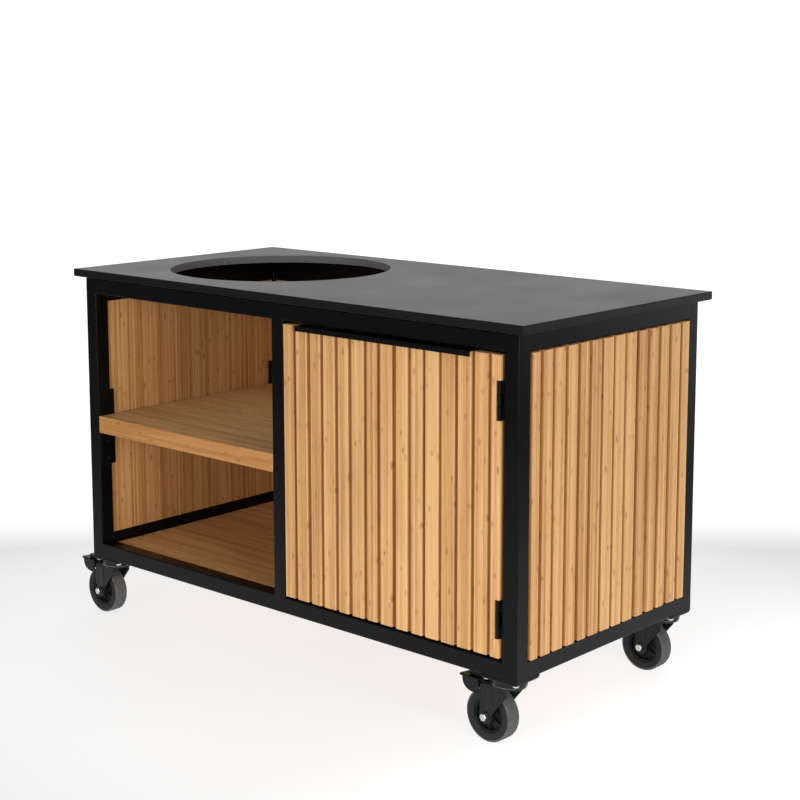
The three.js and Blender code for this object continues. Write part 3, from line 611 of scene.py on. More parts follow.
def bamboo(name, across, along, strip, layer, internode, segment=0, contrast=1.0, tint=None):
    """Side-pressed bamboo: narrow strips of their own tone, each with its knuckles, fibres and glue lines.
    across and along are axis numbers. segment is the length of finger-jointed lengths, or 0 for whole strips."""
    n = Material(name)
    place = n.split(n.place())
    a, l, d = place[across], place[along], place[3 - across - along]
    own = n.attribute("tone")
    strip_at = a / strip + own * 7.3
    strip_index = n.math("FLOOR", strip_at)
    in_strip = n.math("FRACT", strip_at) - 0.5
    layer_index = n.math("FLOOR", d / layer)
    luck = n.chance(strip_index, layer_index, own * 91.7)
    luck_red, luck_green, luck_blue = n.split(luck["Color"])

    piece_tone = luck["Value"]
    joint = 0.0
    if segment:
        zigzag = n.math("PINGPONG", a, 0.0035)
        joint_at = (l + zigzag * 3.0) / segment + luck_red
        piece_tone = n.chance(strip_index, n.math("FLOOR", joint_at) + 0.5, layer_index)["Value"]
        joint = n.remap(n.math("FRACT", joint_at), 0, 0.0010 / segment, 1, 0)

    def stretched(across_scale, along_scale, detail, roughness):
        where = n.vector(a * across_scale, l * along_scale, d * across_scale)
        return n.noise(where, 1, detail, roughness)

    streaks = stretched(230, 2.6, 4, 0.62)
    fibres = stretched(1100, 16, 3, 0.65)
    clouds = stretched(14, 3.4, 3, 0.55)
    tone = (piece_tone - 0.5) * (0.60 * contrast)
    for value, weight in ((own, 0.22 * contrast), (streaks, 1.30 * contrast), (clouds, 0.55), (fibres, 0.45)):
        tone = tone + (value - 0.5) * weight
    color = n.ramp(tone + 0.42, [(0.05, BAMBOO_LIGHT), (0.45, BAMBOO_MID), (1.0, BAMBOO_DARK)])

    knuckle_at = l / internode + luck_green * 5.0
    knuckle_luck = n.chance(strip_index, n.math("FLOOR", knuckle_at), layer_index + 0.3)
    wobble = (n.noise(n.place(), 260, 2) - 0.5) * 0.005
    off_along = (n.math("FRACT", knuckle_at) - 0.5) * internode + wobble
    off_across = in_strip + (n.split(knuckle_luck["Color"])[0] - 0.5) * 0.5
    height = n.remap(luck_blue, 0, 1, 0.0080, 0.0150)
    spread = (off_along / height) ** 2.0 + (off_across / (0.0060 / strip)) ** 2.0
    knuckle = n.remap(n.math("SQRT", spread), 0.15, 1.0, 1, 0, True)
    knuckle = knuckle * (knuckle_luck["Value"] ** 1.3 * 0.84 + 0.10)
    color = n.blend(knuckle, color, KNUCKLE)

    glue = n.remap(n.math("ABSOLUTE", in_strip), 0.5 - 0.00045 / strip, 0.5, 0, 1, True)
    glue = n.math("MAXIMUM", glue * n.remap(luck_blue, 0.2, 1, 0.1, 1), joint)
    color = n.blend(glue * 0.5, color, SEAM)
    # Painted highlight: slightly lighter colour along the rounded edges
    edge = n.edge_mask(0.0010, 0.03, 0.4)
    color = n.blend(edge * 0.16, color, tuple(min(1, c * 1.12) for c in BAMBOO_LIGHT))
    if tint:
        color = n.blend(1.0, color, tint, "MULTIPLY")
    # Painted shade in the grooves, darkest on their floors, from the shade attribute
    color = n.blend(n.attribute("shade"), color, GROOVE_PAINTED_SHADE, "MULTIPLY")

    rough = n.remap(streaks + fibres, 0.6, 1.4, 0.46, 0.64)
    n.bump(fibres * 0.5 - (knuckle * 0.5 + glue * 0.6), 0.5, 0.00035)
    return n.finish(color, rough, Specular_IOR_Level=0.3)


def bamboo_end(name, along):
    """Cut ends of bamboo strips: dense dark bundles in pale fibre."""
    n = Material(name)
    others = n.split(n.place())
    others.pop(along)
    flat = n.vector(*others, 0.0)
    bundles = n.cells(flat, 1500)["Distance"]
    strips = n.noise(flat, 170, 3)
    stops = [(0.2, (0.30, 0.145, 0.050)), (0.62, (0.62, 0.36, 0.155))]
    color = n.ramp(bundles * 0.5 + strips * 0.5, stops)
    n.bump(bundles, 0.4, 0.0003)
    return n.finish(color, n.remap(strips, 0.3, 0.7, 0.6, 0.8), Specular_IOR_Level=0.25)


def rubber(name, dark, light, rough_low, rough_high, specular):
    """Tyre rubber or moulded plastic with scuffs and dust."""
    n = Material(name)
    where = n.place()
    scuffs = n.noise(where, 90, 5, 0.65)
    grit = n.noise(where, 700, 3)
    color = n.ramp(scuffs * 0.7 + grit * 0.3, [(0.3, dark), (0.7, light)])
    n.bump(grit, 0.4, 0.0002)
    return n.finish(color, n.remap(scuffs, 0.3, 0.7, rough_low, rough_high), Specular_IOR_Level=specular)


def floor_paint(name):
    """Pale floor that glows softly near the table and fully behind it, like a lit backdrop."""
    n = Material(name)
    where = n.place()
    cloud = n.noise(where, 1.3, 3)
    x, y, _ = n.split(where)
    behind = x * BEHIND[X] + y * BEHIND[Y]
    beside = x * BESIDE[X] + y * BESIDE[Y] - behind * 0.35
    glow = n.remap(behind, -0.2, 1.6, 0, FLOOR_GLOW_BEHIND, True) * n.remap(beside, 1.2, 2.6, 1, 0, True)
    reach = n.math("SQRT", x ** 2.0 + y ** 2.0)
    near = n.remap(x, 0.3, 1.3, FLOOR_GLOW_NEAR, FLOOR_GLOW_RIGHT, True)
    pool = n.remap(reach, 0.8, 3.1, 1, 0, True) * near
    n.put(n.surface.inputs["Emission Strength"], n.math("MAXIMUM", glow, pool))
    n.surface.inputs["Emission Color"].default_value = (1, 1, 1, 1)
    color = n.ramp(cloud, [(0.3, (0.29, 0.29, 0.29)), (0.7, (0.31, 0.31, 0.31))])
    return n.finish(color, n.remap(cloud, 0.3, 0.7, 0.75, 0.85), Specular_IOR_Level=0.1)


steel = powder_coat("frame_black", (0.0018, 0.0018, 0.0019), (0.0038, 0.0037, 0.0036), 0.13)
caster_steel = powder_coat("caster_black", (0.0060, 0.0060, 0.0062), (0.0120, 0.0118, 0.0116), 0.20)
zinc = plated_zinc("zinc")
slab_stone = stone("slab_stone", (0.0028, 0.0028, 0.0027), (0.0070, 0.0068, 0.0066), (0.024, 0.023, 0.022),
                   0.31, 0.38, 0.18, 0.00012)
sawn_stone = stone("sawn_stone", (0.090, 0.093, 0.097), (0.150, 0.154, 0.160), (0.220, 0.224, 0.230),
                   0.70, 0.85, 0.25, 0.00014)
slat_front = bamboo("bamboo_slat_front", X, Z, 0.0071, 0.030, 0.31)
slat_side = bamboo("bamboo_slat_side", Y, Z, 0.0071, 0.030, 0.31)
# Lining bamboo: its own tone, darkened further as painted shade of the bays' insides
lining_side = bamboo("bamboo_lining_side", Y, Z, 0.0064, 0.030, 0.27, contrast=1.45, tint=LINING_TINT_AND_SHADE)
lining_back = bamboo("bamboo_lining_back", X, Z, 0.0064, 0.030, 0.27, contrast=1.45, tint=LINING_TINT_AND_SHADE)
board_flat = bamboo("bamboo_board", Y, X, 0.0068, 0.015, 0.33, segment=0.52, contrast=0.9)
board_edge = bamboo("bamboo_board_edge", Z, X, 0.0068, 0.015, 0.33, segment=0.38, contrast=0.9, tint=EDGE_TINT)
end_z = bamboo_end("bamboo_end_z", Z)
end_x = bamboo_end("bamboo_end_x", X)
tread = rubber("tread_rubber", (0.055, 0.055, 0.056), (0.120, 0.118, 0.115), 0.75, 0.9, 0.2)
sidewall = rubber("sidewall_rubber", (0.009, 0.009, 0.0092), (0.020, 0.020, 0.0196), 0.55, 0.7, 0.2)
plastic = rubber("moulded_plastic", (0.003, 0.003, 0.0032), (0.007, 0.007, 0.0070), 0.24, 0.36, 0.2)
hub_plastic = rubber("hub_plastic", (0.003, 0.003, 0.0032), (0.007, 0.007, 0.0070), 0.45, 0.6, 0.2)
tape_rubber = rubber("tape_rubber", (0.003, 0.003, 0.0032), (0.007, 0.007, 0.0070), 0.6, 0.8, 0.1)


# Frame
def height_of(node):
    low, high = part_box(node)
    return high.z - low.z


TUBE = height_of("top_rail_front")
BACK_WALLS = ("wall_back_left", "wall_back_right")
CORNERS = ("front_left", "front_right", "rear_left", "rear_right")


def add_tube(node, place, u0, v0, low, high, extras=(), foot=None):
    """A tube with its section's lower corner at (u0, v0), and boxes or a foot plate welded on."""
    shell = Shell()
    u1, v1, wall = u0 + TUBE, v0 + TUBE, TUBE_WALL
    outer = rounded_rectangle(u0, v0, u1, v1, TUBE_RADIUS, CORNER_STEPS)
    inner = rounded_rectangle(u0 + wall, v0 + wall, u1 - wall, v1 - wall, TUBE_RADIUS - wall, CORNER_STEPS)
    shell.tube(outer, inner, low, high, place)
    if foot:
        shell.prism(*foot, along_z)
    for corner, opposite in extras:
        shell.prism(rectangle(*corner[:2], *opposite[:2]), corner[2], opposite[2], along_z)
    make_piece("frame_" + node, shell, [steel], "table", (node,), smooth=30)


def add_posts():
    for corner in CORNERS:
        node = "post_" + corner
        low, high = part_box(node)
        x0 = low.x if corner.endswith("left") else high.x - TUBE
        y0 = low.y if corner.startswith("front") else high.y - TUBE
        plate_low, plate_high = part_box(f"caster_{corner}_plate")
        plan = rounded_rectangle(*plate_low.xy, *plate_high.xy, TUBE_RADIUS, CORNER_STEPS)
        foot_top = low.z + FOOT_THICKNESS
        add_tube(node, along_z, x0, y0, foot_top - EMBED, high.z, foot=(plan, low.z, foot_top))

    low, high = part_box("post_rear_middle")
    add_tube("post_rear_middle", along_z, low.x, low.y, low.z - TUBE_RADIUS, high.z + TUBE_RADIUS)
    low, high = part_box("post_front_middle")
    door_low, door_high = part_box("door")
    centre = (door_low.z + door_high.z) / 2
    tab_front = door_high.y + TAB_GAP
    tab = (
        (low.x + TUBE - TUBE_WALL, tab_front, centre - TAB_HALF),
        (high.x, tab_front + STRIP_THICKNESS, centre + TAB_HALF),
    )
    add_tube("post_front_middle", along_z, low.x, low.y, low.z - TUBE_RADIUS, high.z + TUBE_RADIUS, [tab])


def wall_strip(wall, way, z0, z1):
    """Opposite corners of a strip on a wall's inner face. way is 1 or -1 along X, or 0 at a back wall."""
    low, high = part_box(wall)
    if way == 0:
        return (low.x, low.y - STRIP_THICKNESS, z0), (high.x, low.y, z1)
    x0 = high.x if way > 0 else low.x - STRIP_THICKNESS
    return (x0, low.y, z0), (x0 + STRIP_THICKNESS, high.y, z1)


def floor_ledges(y0, y1):
    """Opposite corners of the ledges that carry the floor boards, from y0 to y1."""
    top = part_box("floor_left")[0].z
    bays = [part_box(wall) for wall in BACK_WALLS]
    return [((a.x - WALL_SLOT, y0, top - LEDGE_THICKNESS), (b.x + WALL_SLOT, y1, top)) for a, b in bays]


def add_strip_rails(level, ledges=()):
    """The rear, left and right rails of one level, with the strips that hold the walls' edges."""
    low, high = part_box(level + "_rail_rear")
    if level == "top":
        rail_z = high.z - TUBE
        z0, z1 = low.z, rail_z + TUBE_WALL
    else:
        rail_z = low.z
        z0, z1 = low.z + TUBE - TUBE_WALL, high.z
    extras = [*ledges] + [wall_strip(wall, 0, z0, z1) for wall in BACK_WALLS]
    ends = (low.x - TUBE_RADIUS, high.x + TUBE_RADIUS)
    add_tube(level + "_rail_rear", along_x, high.y - TUBE, rail_z, *ends, extras)
    for side, way in (("left", 1), ("right", -1)):
        low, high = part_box(f"{level}_rail_{side}")
        x0 = low.x if side == "left" else high.x - TUBE
        strip = wall_strip("wall_" + side, way, z0, z1)
        ends = (low.y - TUBE_RADIUS, high.y + TUBE_RADIUS)
        add_tube(f"{level}_rail_{side}", along_y, x0, rail_z, *ends, [strip])


def add_rails():
    low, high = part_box("top_rail_front")
    add_tube("top_rail_front", along_x, low.y, low.z, low.x - TUBE_RADIUS, high.x + TUBE_RADIUS)
    for node in ("top_rail_middle", "bottom_rail_middle"):
        low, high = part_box(node)
        add_tube(node, along_y, low.x, low.z, low.y - TUBE_RADIUS, high.y + TUBE_RADIUS)
    add_strip_rails("top")
    low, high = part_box("bottom_rail_front")
    ledges = floor_ledges(low.y + TUBE - TUBE_WALL, high.y)
    add_tube("bottom_rail_front", along_x, low.y, low.z, low.x - TUBE_RADIUS, high.x + TUBE_RADIUS, ledges)
    low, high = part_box("bottom_rail_rear")
    add_strip_rails("bottom", floor_ledges(low.y, high.y - TUBE + TUBE_WALL))


# Worktop
def add_worktop():
    """The slab: its plan and the round hole share spokes, so the top is one clean ring of faces."""
    low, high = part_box("worktop")
    bay_low, bay_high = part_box("wall_back_left")
    centre = Vector(((bay_low.x + bay_high.x) / 2, HOLE_SET_BACK))
    angles = {math.tau * i / HOLE_STEPS for i in range(HOLE_STEPS)}
    corners = rectangle(low.x, low.y, high.x, high.y)
    angles |= {math.atan2(y - centre.y, x - centre.x) % math.tau for x, y in corners}
    angles = sorted(angles)

    def rim(angle, inset):
        c, s = math.cos(angle), math.sin(angle)
        reach_x = ((high.x if c > 0 else low.x) - centre.x) / c if abs(c) > TINY else math.inf
        reach_y = ((high.y if s > 0 else low.y) - centre.y) / s if abs(s) > TINY else math.inf
        point = centre + Vector((c, s)) * min(reach_x, reach_y)
        return (
            min(max(point.x, low.x + inset), high.x - inset),
            min(max(point.y, low.y + inset), high.y - inset),
        )

    def hole(angle, outset):
        return centre + Vector((math.cos(angle), math.sin(angle))) * (HOLE_RADIUS + outset)

    a, b = SLAB_ARRIS, SLAB_ARRIS * ARRIS_SHOULDER
    outer = [(2 * a, high.z), (a, high.z), (b, high.z - b), (0, high.z - a),
             (0, high.z - 2 * a), (0, low.z + a), (b, low.z + b), (a, low.z)]
    inner = [(a, low.z), (b, low.z + b), (0, low.z + a), (0, high.z - 2 * a),
             (0, high.z - a), (b, high.z - b), (a, high.z), (2 * a, high.z)]
    sawn = [0, 1, 1, 1, 1, 1, 0, 0]
    rings = [(rim, *ring, 0) for ring in outer] + [(hole, *ring, kind) for ring, kind in zip(inner, sawn)]
    points = [(*where(angle, offset), z) for where, offset, z, _ in rings for angle in angles]
    faces = []
    kinds = []
    count = len(angles)
    for level in range(len(rings)):
        following = (level + 1) % len(rings)
        start, above = level * count, following * count
        for i in range(count):
            j = (i + 1) % count
            faces.append([start + i, start + j, above + j, above + i])
            kinds.append(max(rings[level][3], rings[following][3]))
    shell = Shell()
    shell.add(points, faces, kinds)
    make_piece("worktop_slab", shell, [slab_stone, sawn_stone], "table", ("worktop",), smooth=30)


def dress_tape():
    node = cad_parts["worktop_tape"]
    node.data.materials.clear()
    node.data.materials.append(tape_rubber)


# Slatted panels
def slat_outline(start, end):
    """A slat's section: (along, inward) with its two front edges rounded."""
    r = SLAT_EDGE
    depth = SLAT_DEPTH + EMBED
    front = arc(start + r, r, r, 180, 270, CORNER_STEPS) + arc(end - r, r, r, 270, 360, CORNER_STEPS)
    return front + [(end, depth), (start, depth)]


def depth_shade(v):
    """Painted shade: nothing on the slats' faces, full on the groove's floor, and nothing on the panel's flat
    back.
    """
    return min(v / SLAT_DEPTH, 1.0) if v < SLAT_DEPTH + 2 * EMBED else 0.0


def add_panel(node, width, grooves, thickness, place, low, high, materials, seed, body="table", cut=None):
    """Slats on a back made of flat strips. place(along, inward) gives the plan point.
    cut is where the hinges' notch starts, and its spans of height."""
    rng = random.Random(seed)
    shell = Shell()
    notch, spans = cut or (math.inf, [])

    def sweep(outline, z0, z1, kind, tone):
        shell.prism(outline, z0, z1, lambda u, v, w: (*place(u, v), w), kind, tone, 2, depth_shade)

    edges = [0]
    for centre, groove in grooves:
        edges += [centre - groove / 2, centre + groove / 2]
    edges.append(width)
    for start, end in zip(edges[::2], edges[1::2]):
        top = high - rng.random() * SLAT_UNEVEN
        bottom = low + rng.random() * SLAT_UNEVEN
        tone = rng.random()
        notched = spans if end > notch else []
        levels = [bottom, *[z for span in notched for z in span], top]
        for z0, z1 in zip(levels[::2], levels[1::2]):
            sweep(slat_outline(start, end), z0, z1, 0, tone)
        for z0, z1 in notched:
            sweep(slat_outline(start, notch), z0, z1, 0, tone)

    count = max(1, round(width / LINING_STRIP))
    bounds = [width * i / count + (rng.random() - 0.5) * LINING_UNEVEN for i in range(1, count)]
    bounds = [0, *bounds, width]
    for start, end in zip(bounds, bounds[1:]):
        tone = rng.random()
        back = [(start, SLAT_DEPTH), (end, SLAT_DEPTH), (end, thickness - BOARD_BEVEL),
                (end - BOARD_BEVEL, thickness), (start + BOARD_BEVEL, thickness),
                (start, thickness - BOARD_BEVEL)]
        z = low
        for z0, z1 in spans if end > notch else []:
            sweep(back, z, z0, 1, tone)
            if start < notch:
                sweep([(min(u, notch), v) for u, v in back], z0, z1, 1, tone)
            z = z1
        sweep(back, z, high, 1, tone)
    make_piece(node + "_slats", shell, materials, body, (node,), smooth=50, bevel=SLAT_END_BEVEL)


def even_grooves(width):
    grooves = []
    centre = BACK_FIRST_GROOVE
    while centre + BACK_GROOVE / 2 < width:
        grooves.append((centre, BACK_GROOVE))
        centre += BACK_PITCH
    return grooves


def add_walls():
    for node, way, seed in (("wall_right", -1, 11), ("wall_left", 1, 23)):
        low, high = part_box(node)
        outer_x = low.x if way > 0 else high.x
        add_panel(node, high.y - low.y, SIDE_GROOVES, high.x - low.x,
                  lambda u, v, x=outer_x, y=low.y, way=way: (x + way * v, y + u),
                  low.z, high.z, [slat_side, lining_side, end_z], seed)
    for node, seed in zip(BACK_WALLS, (31, 47)):
        low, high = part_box(node)
        width = high.x - low.x
        add_panel(node, width, even_grooves(width), high.y - low.y,
                  lambda u, v, x=low.x, y=high.y: (x + u, y - v),
                  low.z, high.z, [slat_front, lining_back, end_z], seed)


def add_wall_seals():
    """Rubber beads in the upright slots between the back walls and the posts."""
    posts = [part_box("post_rear_" + place) for place in ("left", "middle", "right")]
    for node, left_post, right_post in zip(BACK_WALLS, posts, posts[1:]):
        low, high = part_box(node)
        middle = (low.y + high.y) / 2
        shell = Shell()
        for x0, x1 in ((left_post[0].x + TUBE, low.x), (high.x, right_post[1].x - TUBE)):
            bead = rectangle(x0 - EMBED, middle - SEAL_HALF, x1 + EMBED, middle + SEAL_HALF)
            shell.prism(bead, low.z, high.z, along_z)
        make_piece(node + "_seals", shell, [tape_rubber], "table", smooth=40)


def add_door():
    low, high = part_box("door")
    frame_low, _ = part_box("hinge_lower_frame_leaf")
    axis_x = frame_low.x + HINGE_RADIUS
    notch = axis_x - HINGE_RADIUS - HINGE_SHEET - DOOR_GAP - low.x
    leaves = [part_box(f"hinge_{place}_door_leaf") for place in ("lower", "upper")]
    spans = [(leaf_low.z - DOOR_GAP, leaf_high.z + DOOR_GAP) for leaf_low, leaf_high in leaves]
    add_panel("door", high.x - low.x, DOOR_GROOVES, high.y - low.y,
              lambda u, v: (low.x + u, low.y + v),
              low.z, high.z, [slat_front, lining_back, end_z], 5, body="door", cut=(notch, spans))


# Flat boards
def add_boards(name, node, bounds, seed, notches=()):
    """Boards side by side in Y with their grain along X. notches are (side, y0, y1) plan cuts."""
    rng = random.Random(seed)
    low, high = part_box(node)
    shell = Shell()
    for start, end in zip(bounds, bounds[1:]):
        outline = rectangle(low.x, start, high.x, end)
        for side, y0, y1 in notches:
            if not (start < y0 < end or start < y1 < end or (y0 <= start and end <= y1)):
                continue
            a, b = max(y0, start), min(y1, end)
            if side == "left":
                x = low.x
                outline += [(x, b), (x + NOTCH_DEPTH, b), (x + NOTCH_DEPTH, a), (x, a)]
            else:
                x = high.x
                outline[2:2] = [(x, a), (x - NOTCH_DEPTH, a), (x - NOTCH_DEPTH, b), (x, b)]
        shell.prism(outline, low.z, high.z, along_z, 0, rng.random())
    for i, face in enumerate(shell.faces):
        for axis, kind in ((X, 1), (Y, 2)):
            places = [shell.points[p][axis] for p in face]
            if max(places) - min(places) < EMBED:
                shell.kinds[i] = kind
    make_piece(name, shell, [board_flat, end_x, board_edge], "table", (node,),
               smooth=40, bevel=0.0012, bevel_steps=3)


def add_inner_boards():
    for node, seed in (("floor_left", 61), ("floor_right", 67)):
        low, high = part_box(node)
        bounds = [low.y + (high.y - low.y) * i / FLOOR_BOARDS for i in range(FLOOR_BOARDS + 1)]
        add_boards(node + "_boards", node, bounds, seed)
    low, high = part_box("shelf")
    notches = []
    for place in ("front", "rear"):
        bracket_low, bracket_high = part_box(f"shelf_bracket_{place}_left")
        for side in ("left", "right"):
            notches.append((side, bracket_low.y - NOTCH_GAP, bracket_high.y + NOTCH_GAP))
    add_boards("shelf_boards", "shelf", [low.y, low.y + SHELF_JOINT, high.y], 71, notches)

    low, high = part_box("divider")
    shell = Shell()
    rng = random.Random(83)
    for i in range(DIVIDER_BOARDS):
        y0 = low.y + (high.y - low.y) * i / DIVIDER_BOARDS
        y1 = low.y + (high.y - low.y) * (i + 1) / DIVIDER_BOARDS
        plan = rectangle(low.x, y0, high.x, y1)
        shell.prism(plan, low.z, high.z, along_z, 0, rng.random(), end_kind=1)
    make_piece("divider_boards", shell, [lining_side, end_z], "table", ("divider",),
               smooth=40, bevel=0.0008)


# Shelf brackets, door pull and hinges
def add_sheet_steel(node, shell, body, bevel):
    make_piece(node + "_steel", shell, [steel], body, (node,), smooth=40, bevel=bevel)


def add_brackets():
    toe_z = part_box("shelf")[0].z
    for place in ("front", "rear"):
        for side in ("left", "right"):
            node = f"shelf_bracket_{place}_{side}"
            low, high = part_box(node)
            x0 = low.x if side == "left" else high.x - BRACKET_SHEET
            toe_y = high.y - TOE_WIDTH if place == "front" else low.y
            shell = Shell()
            plate = rounded_rectangle(low.y, low.z, high.y, high.z, BRACKET_CORNER, 4)
            shell.prism(plate, x0, x0 + BRACKET_SHEET, along_x)
            toe = rectangle(low.x, toe_y, high.x, toe_y + TOE_WIDTH)
            tip = TOE_CORNER
            radii = [0, tip, tip, 0] if side == "left" else [tip, 0, 0, tip]
            shell.prism(round_corners(toe, radii, 4), toe_z - BRACKET_SHEET, toe_z, along_z)
            facing, face_x = (1, x0 + BRACKET_SHEET) if side == "left" else (-1, x0)
            heights = (low.z + BRACKET_SCREW_INSET, high.z - BRACKET_SCREW_INSET,
                       toe_z - BRACKET_SCREW_DROPS[0], high.z - BRACKET_SCREW_DROPS[1])
            for z in heights:
                shell.screw((face_x, (low.y + high.y) / 2, z), (facing, 0, 0), BRACKET_SCREW)
            add_sheet_steel(node, shell, "table", PLATE_BEVEL)


def add_door_pull():
    """Bent sheet over the door's top edge, with a soft fold and a plain lip."""
    low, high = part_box("door_pull")
    fold_y, fold_z = low.y + PULL_FOLD, high.z - PULL_FOLD
    section = [(high.y, high.z - PULL_SHEET), (high.y, high.z)]
    section += arc(fold_y, fold_z, PULL_FOLD, 90, 180, BEND_STEPS)
    section += [(low.y, low.z), (low.y + PULL_SHEET, low.z)]
    section += arc(fold_y, fold_z, PULL_FOLD - PULL_SHEET, 180, 90, BEND_STEPS)
    shell = Shell()
    shell.prism(section, low.x, high.x, along_x)
    make_piece("door_pull_sheet", shell, [steel], "door", ("door_pull",),
               smooth=40, bevel=0.0004)


def barrel_profile(radius, low, high):
    r = BARREL_EDGE
    return [(0, low), (radius - r, low), (radius, low + r), (radius, high - r), (radius - r, high), (0, high)]


def frame_leaf(low, high, axis, levels):
    """The outer knuckles with the pin, their tails, and the plate screwed to the post."""
    shell = Shell()
    tail_back = axis.y + HINGE_RADIUS
    for z0, z1 in ((levels[0], levels[1] - BARREL_GAP), (levels[2] + BARREL_GAP, levels[3])):
        shell.turned(barrel_profile(HINGE_RADIUS, z0, z1), axis, UP, SMALL_TURN_STEPS, closed=False)
        shell.prism(rectangle(axis.x, tail_back - HINGE_SHEET, high.x, tail_back), z0, z1, along_z)
    shell.turned(barrel_profile(HINGE_PIN, low.z, high.z), axis, UP, PIN_STEPS, closed=False)
    plate = rounded_rectangle(tail_back - HINGE_SHEET, low.z, high.y, high.z, HINGE_CORNER, 3)
    shell.prism(plate, high.x - HINGE_SHEET, high.x, along_x)
    for z in (low.z + HINGE_SCREW_INSET, (low.z + high.z) / 2, high.z - HINGE_SCREW_INSET):
        shell.screw((high.x - HINGE_SHEET, high.y - LEAF_SCREW_INSET, z), (-1, 0, 0), HINGE_SCREW)
    return shell


def door_leaf(low, high, axis, levels):
    """The middle knuckle, its tail, the web beside the door's edge, and the flange behind the door."""
    shell = Shell()
    web_left = axis.x - HINGE_RADIUS - HINGE_SHEET
    web_right = web_left + HINGE_SHEET
    r, z0, z1 = BARREL_EDGE, levels[1], levels[2]
    profile = [(HINGE_BORE, z0), (HINGE_RADIUS - r, z0), (HINGE_RADIUS, z0 + r),
               (HINGE_RADIUS, z1 - r), (HINGE_RADIUS - r, z1), (HINGE_BORE, z1)]
    shell.turned(profile, axis, UP, SMALL_TURN_STEPS)
    shell.prism(rectangle(web_left, axis.y, web_right, high.y), low.z, high.z, along_z)
    shell.prism(rectangle(low.x, high.y - HINGE_SHEET, web_right, high.y), low.z, high.z, along_z)
    tail = rectangle(web_left, axis.y + HINGE_RADIUS - HINGE_SHEET, axis.x, axis.y + HINGE_RADIUS)
    shell.prism(tail, z0, z1, along_z)
    for z in (low.z + HINGE_SCREW_INSET, high.z - HINGE_SCREW_INSET):
        for inset in FLANGE_SCREWS:
            shell.screw((low.x + inset, high.y, z), SIDEWAYS, HINGE_SCREW)
    return shell


def add_hinges():
    for place in ("lower", "upper"):
        node = f"hinge_{place}_frame_leaf"
        low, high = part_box(node)
        axis = Vector((low.x + HINGE_RADIUS, low.y + HINGE_RADIUS, 0))
        levels = [low.z + (high.z - low.z) / 3 * i for i in range(3)] + [high.z]
        add_sheet_steel(node, frame_leaf(low, high, axis, levels), "table", HINGE_BEVEL)
        node = f"hinge_{place}_door_leaf"
        add_sheet_steel(node, door_leaf(*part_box(node), axis, levels), "door", HINGE_BEVEL)


# Casters
def caster_plate_shell(half_x, half_y):
    """The top plate and the pressed ball race under it."""
    shell = Shell()
    plan = rounded_rectangle(-half_x, -half_y, half_x, half_y, PLATE_CORNER, 6)
    shell.prism(plan, PLATE_BOTTOM, -FOOT_THICKNESS, along_z)
    top = PLATE_BOTTOM + EMBED
    bottom = RACE_BOTTOM + RACE_RIM - EMBED
    r = RACE_RADIUS - RACE_INSET
    profile = [(0, top), (r - 2 * RACE_BEND, top)]
    profile += arc(r - RACE_BEND, top - RACE_BEND, RACE_BEND, 90, 0, 5)
    profile += [(r, bottom), (0, bottom)]
    shell.turned(profile, ORIGIN, UP, TURN_STEPS, closed=False)
    return shell


def caster_zinc_shell():
    """The race's plated rim, the king pin with its head, and the four plate bolts with their washers."""
    shell = Shell()
    f = 0.0005
    r, low, high = RACE_RADIUS, RACE_BOTTOM, RACE_BOTTOM + RACE_RIM
    rim = [(0, high), (r - f, high), (r, high - f), (r, low + f), (r - f, low), (0, low)]
    shell.turned(rim, ORIGIN, UP, TURN_STEPS, closed=False)
    r, head_top = KING_HEAD_RADIUS, DISH_BOTTOM - SEAT_GAP
    head_low = head_top - KING_HEAD_HEIGHT
    pin = [(0, low + EMBED), (KING_RADIUS, low + EMBED), (KING_RADIUS, head_top), (r, head_top)]
    pin += [(r, head_low + KING_CHAMFER), (r - KING_CHAMFER, head_low), (0, head_low)]
    shell.turned(pin, ORIGIN, UP, SMALL_TURN_STEPS, closed=False)
    seat = PLATE_BOTTOM - BOLT_WASHER + EMBED
    washer = [(0, 0), (BOLT_RADIUS, 0), (BOLT_RADIUS, BOLT_WASHER), (0, BOLT_WASHER)]
    thread, end = BOLT_RADIUS * STUD_SHARE, NUT_HIGH + STUD_PROUD
    stud = [(0, 0), (thread, 0), (thread, end - f), (thread - f, end), (0, end)]
    for bx in (-BOLT_X, BOLT_X):
        for by in (-BOLT_Y, BOLT_Y):
            shell.turned(washer, (bx, by, PLATE_BOTTOM), DOWN, SMALL_TURN_STEPS, closed=False)
            shell.hexagon((bx, by, seat), DOWN, BOLT_RADIUS * NUT_SHARE, NUT_HIGH)
            shell.turned(stud, (bx, by, seat), DOWN, SMALL_TURN_STEPS, closed=False)
    return shell


def boolean_piece(target, shell, kind):
    """Adds, cuts or keeps the shell's volume in a mesh object."""
    cutter = add_object("cutter", mesh_from("cutter", shell))
    modifier = target.modifiers.new("cut", "BOOLEAN")
    modifier.operation = kind
    modifier.solver = "EXACT"
    modifier.object = cutter
    graph = bpy.context.evaluated_depsgraph_get()
    made = bpy.data.meshes.new_from_object(target.evaluated_get(graph))
    target.modifiers.clear()
    old = target.data
    target.data = made
    bpy.data.meshes.remove(old)
    bpy.data.objects.remove(cutter)


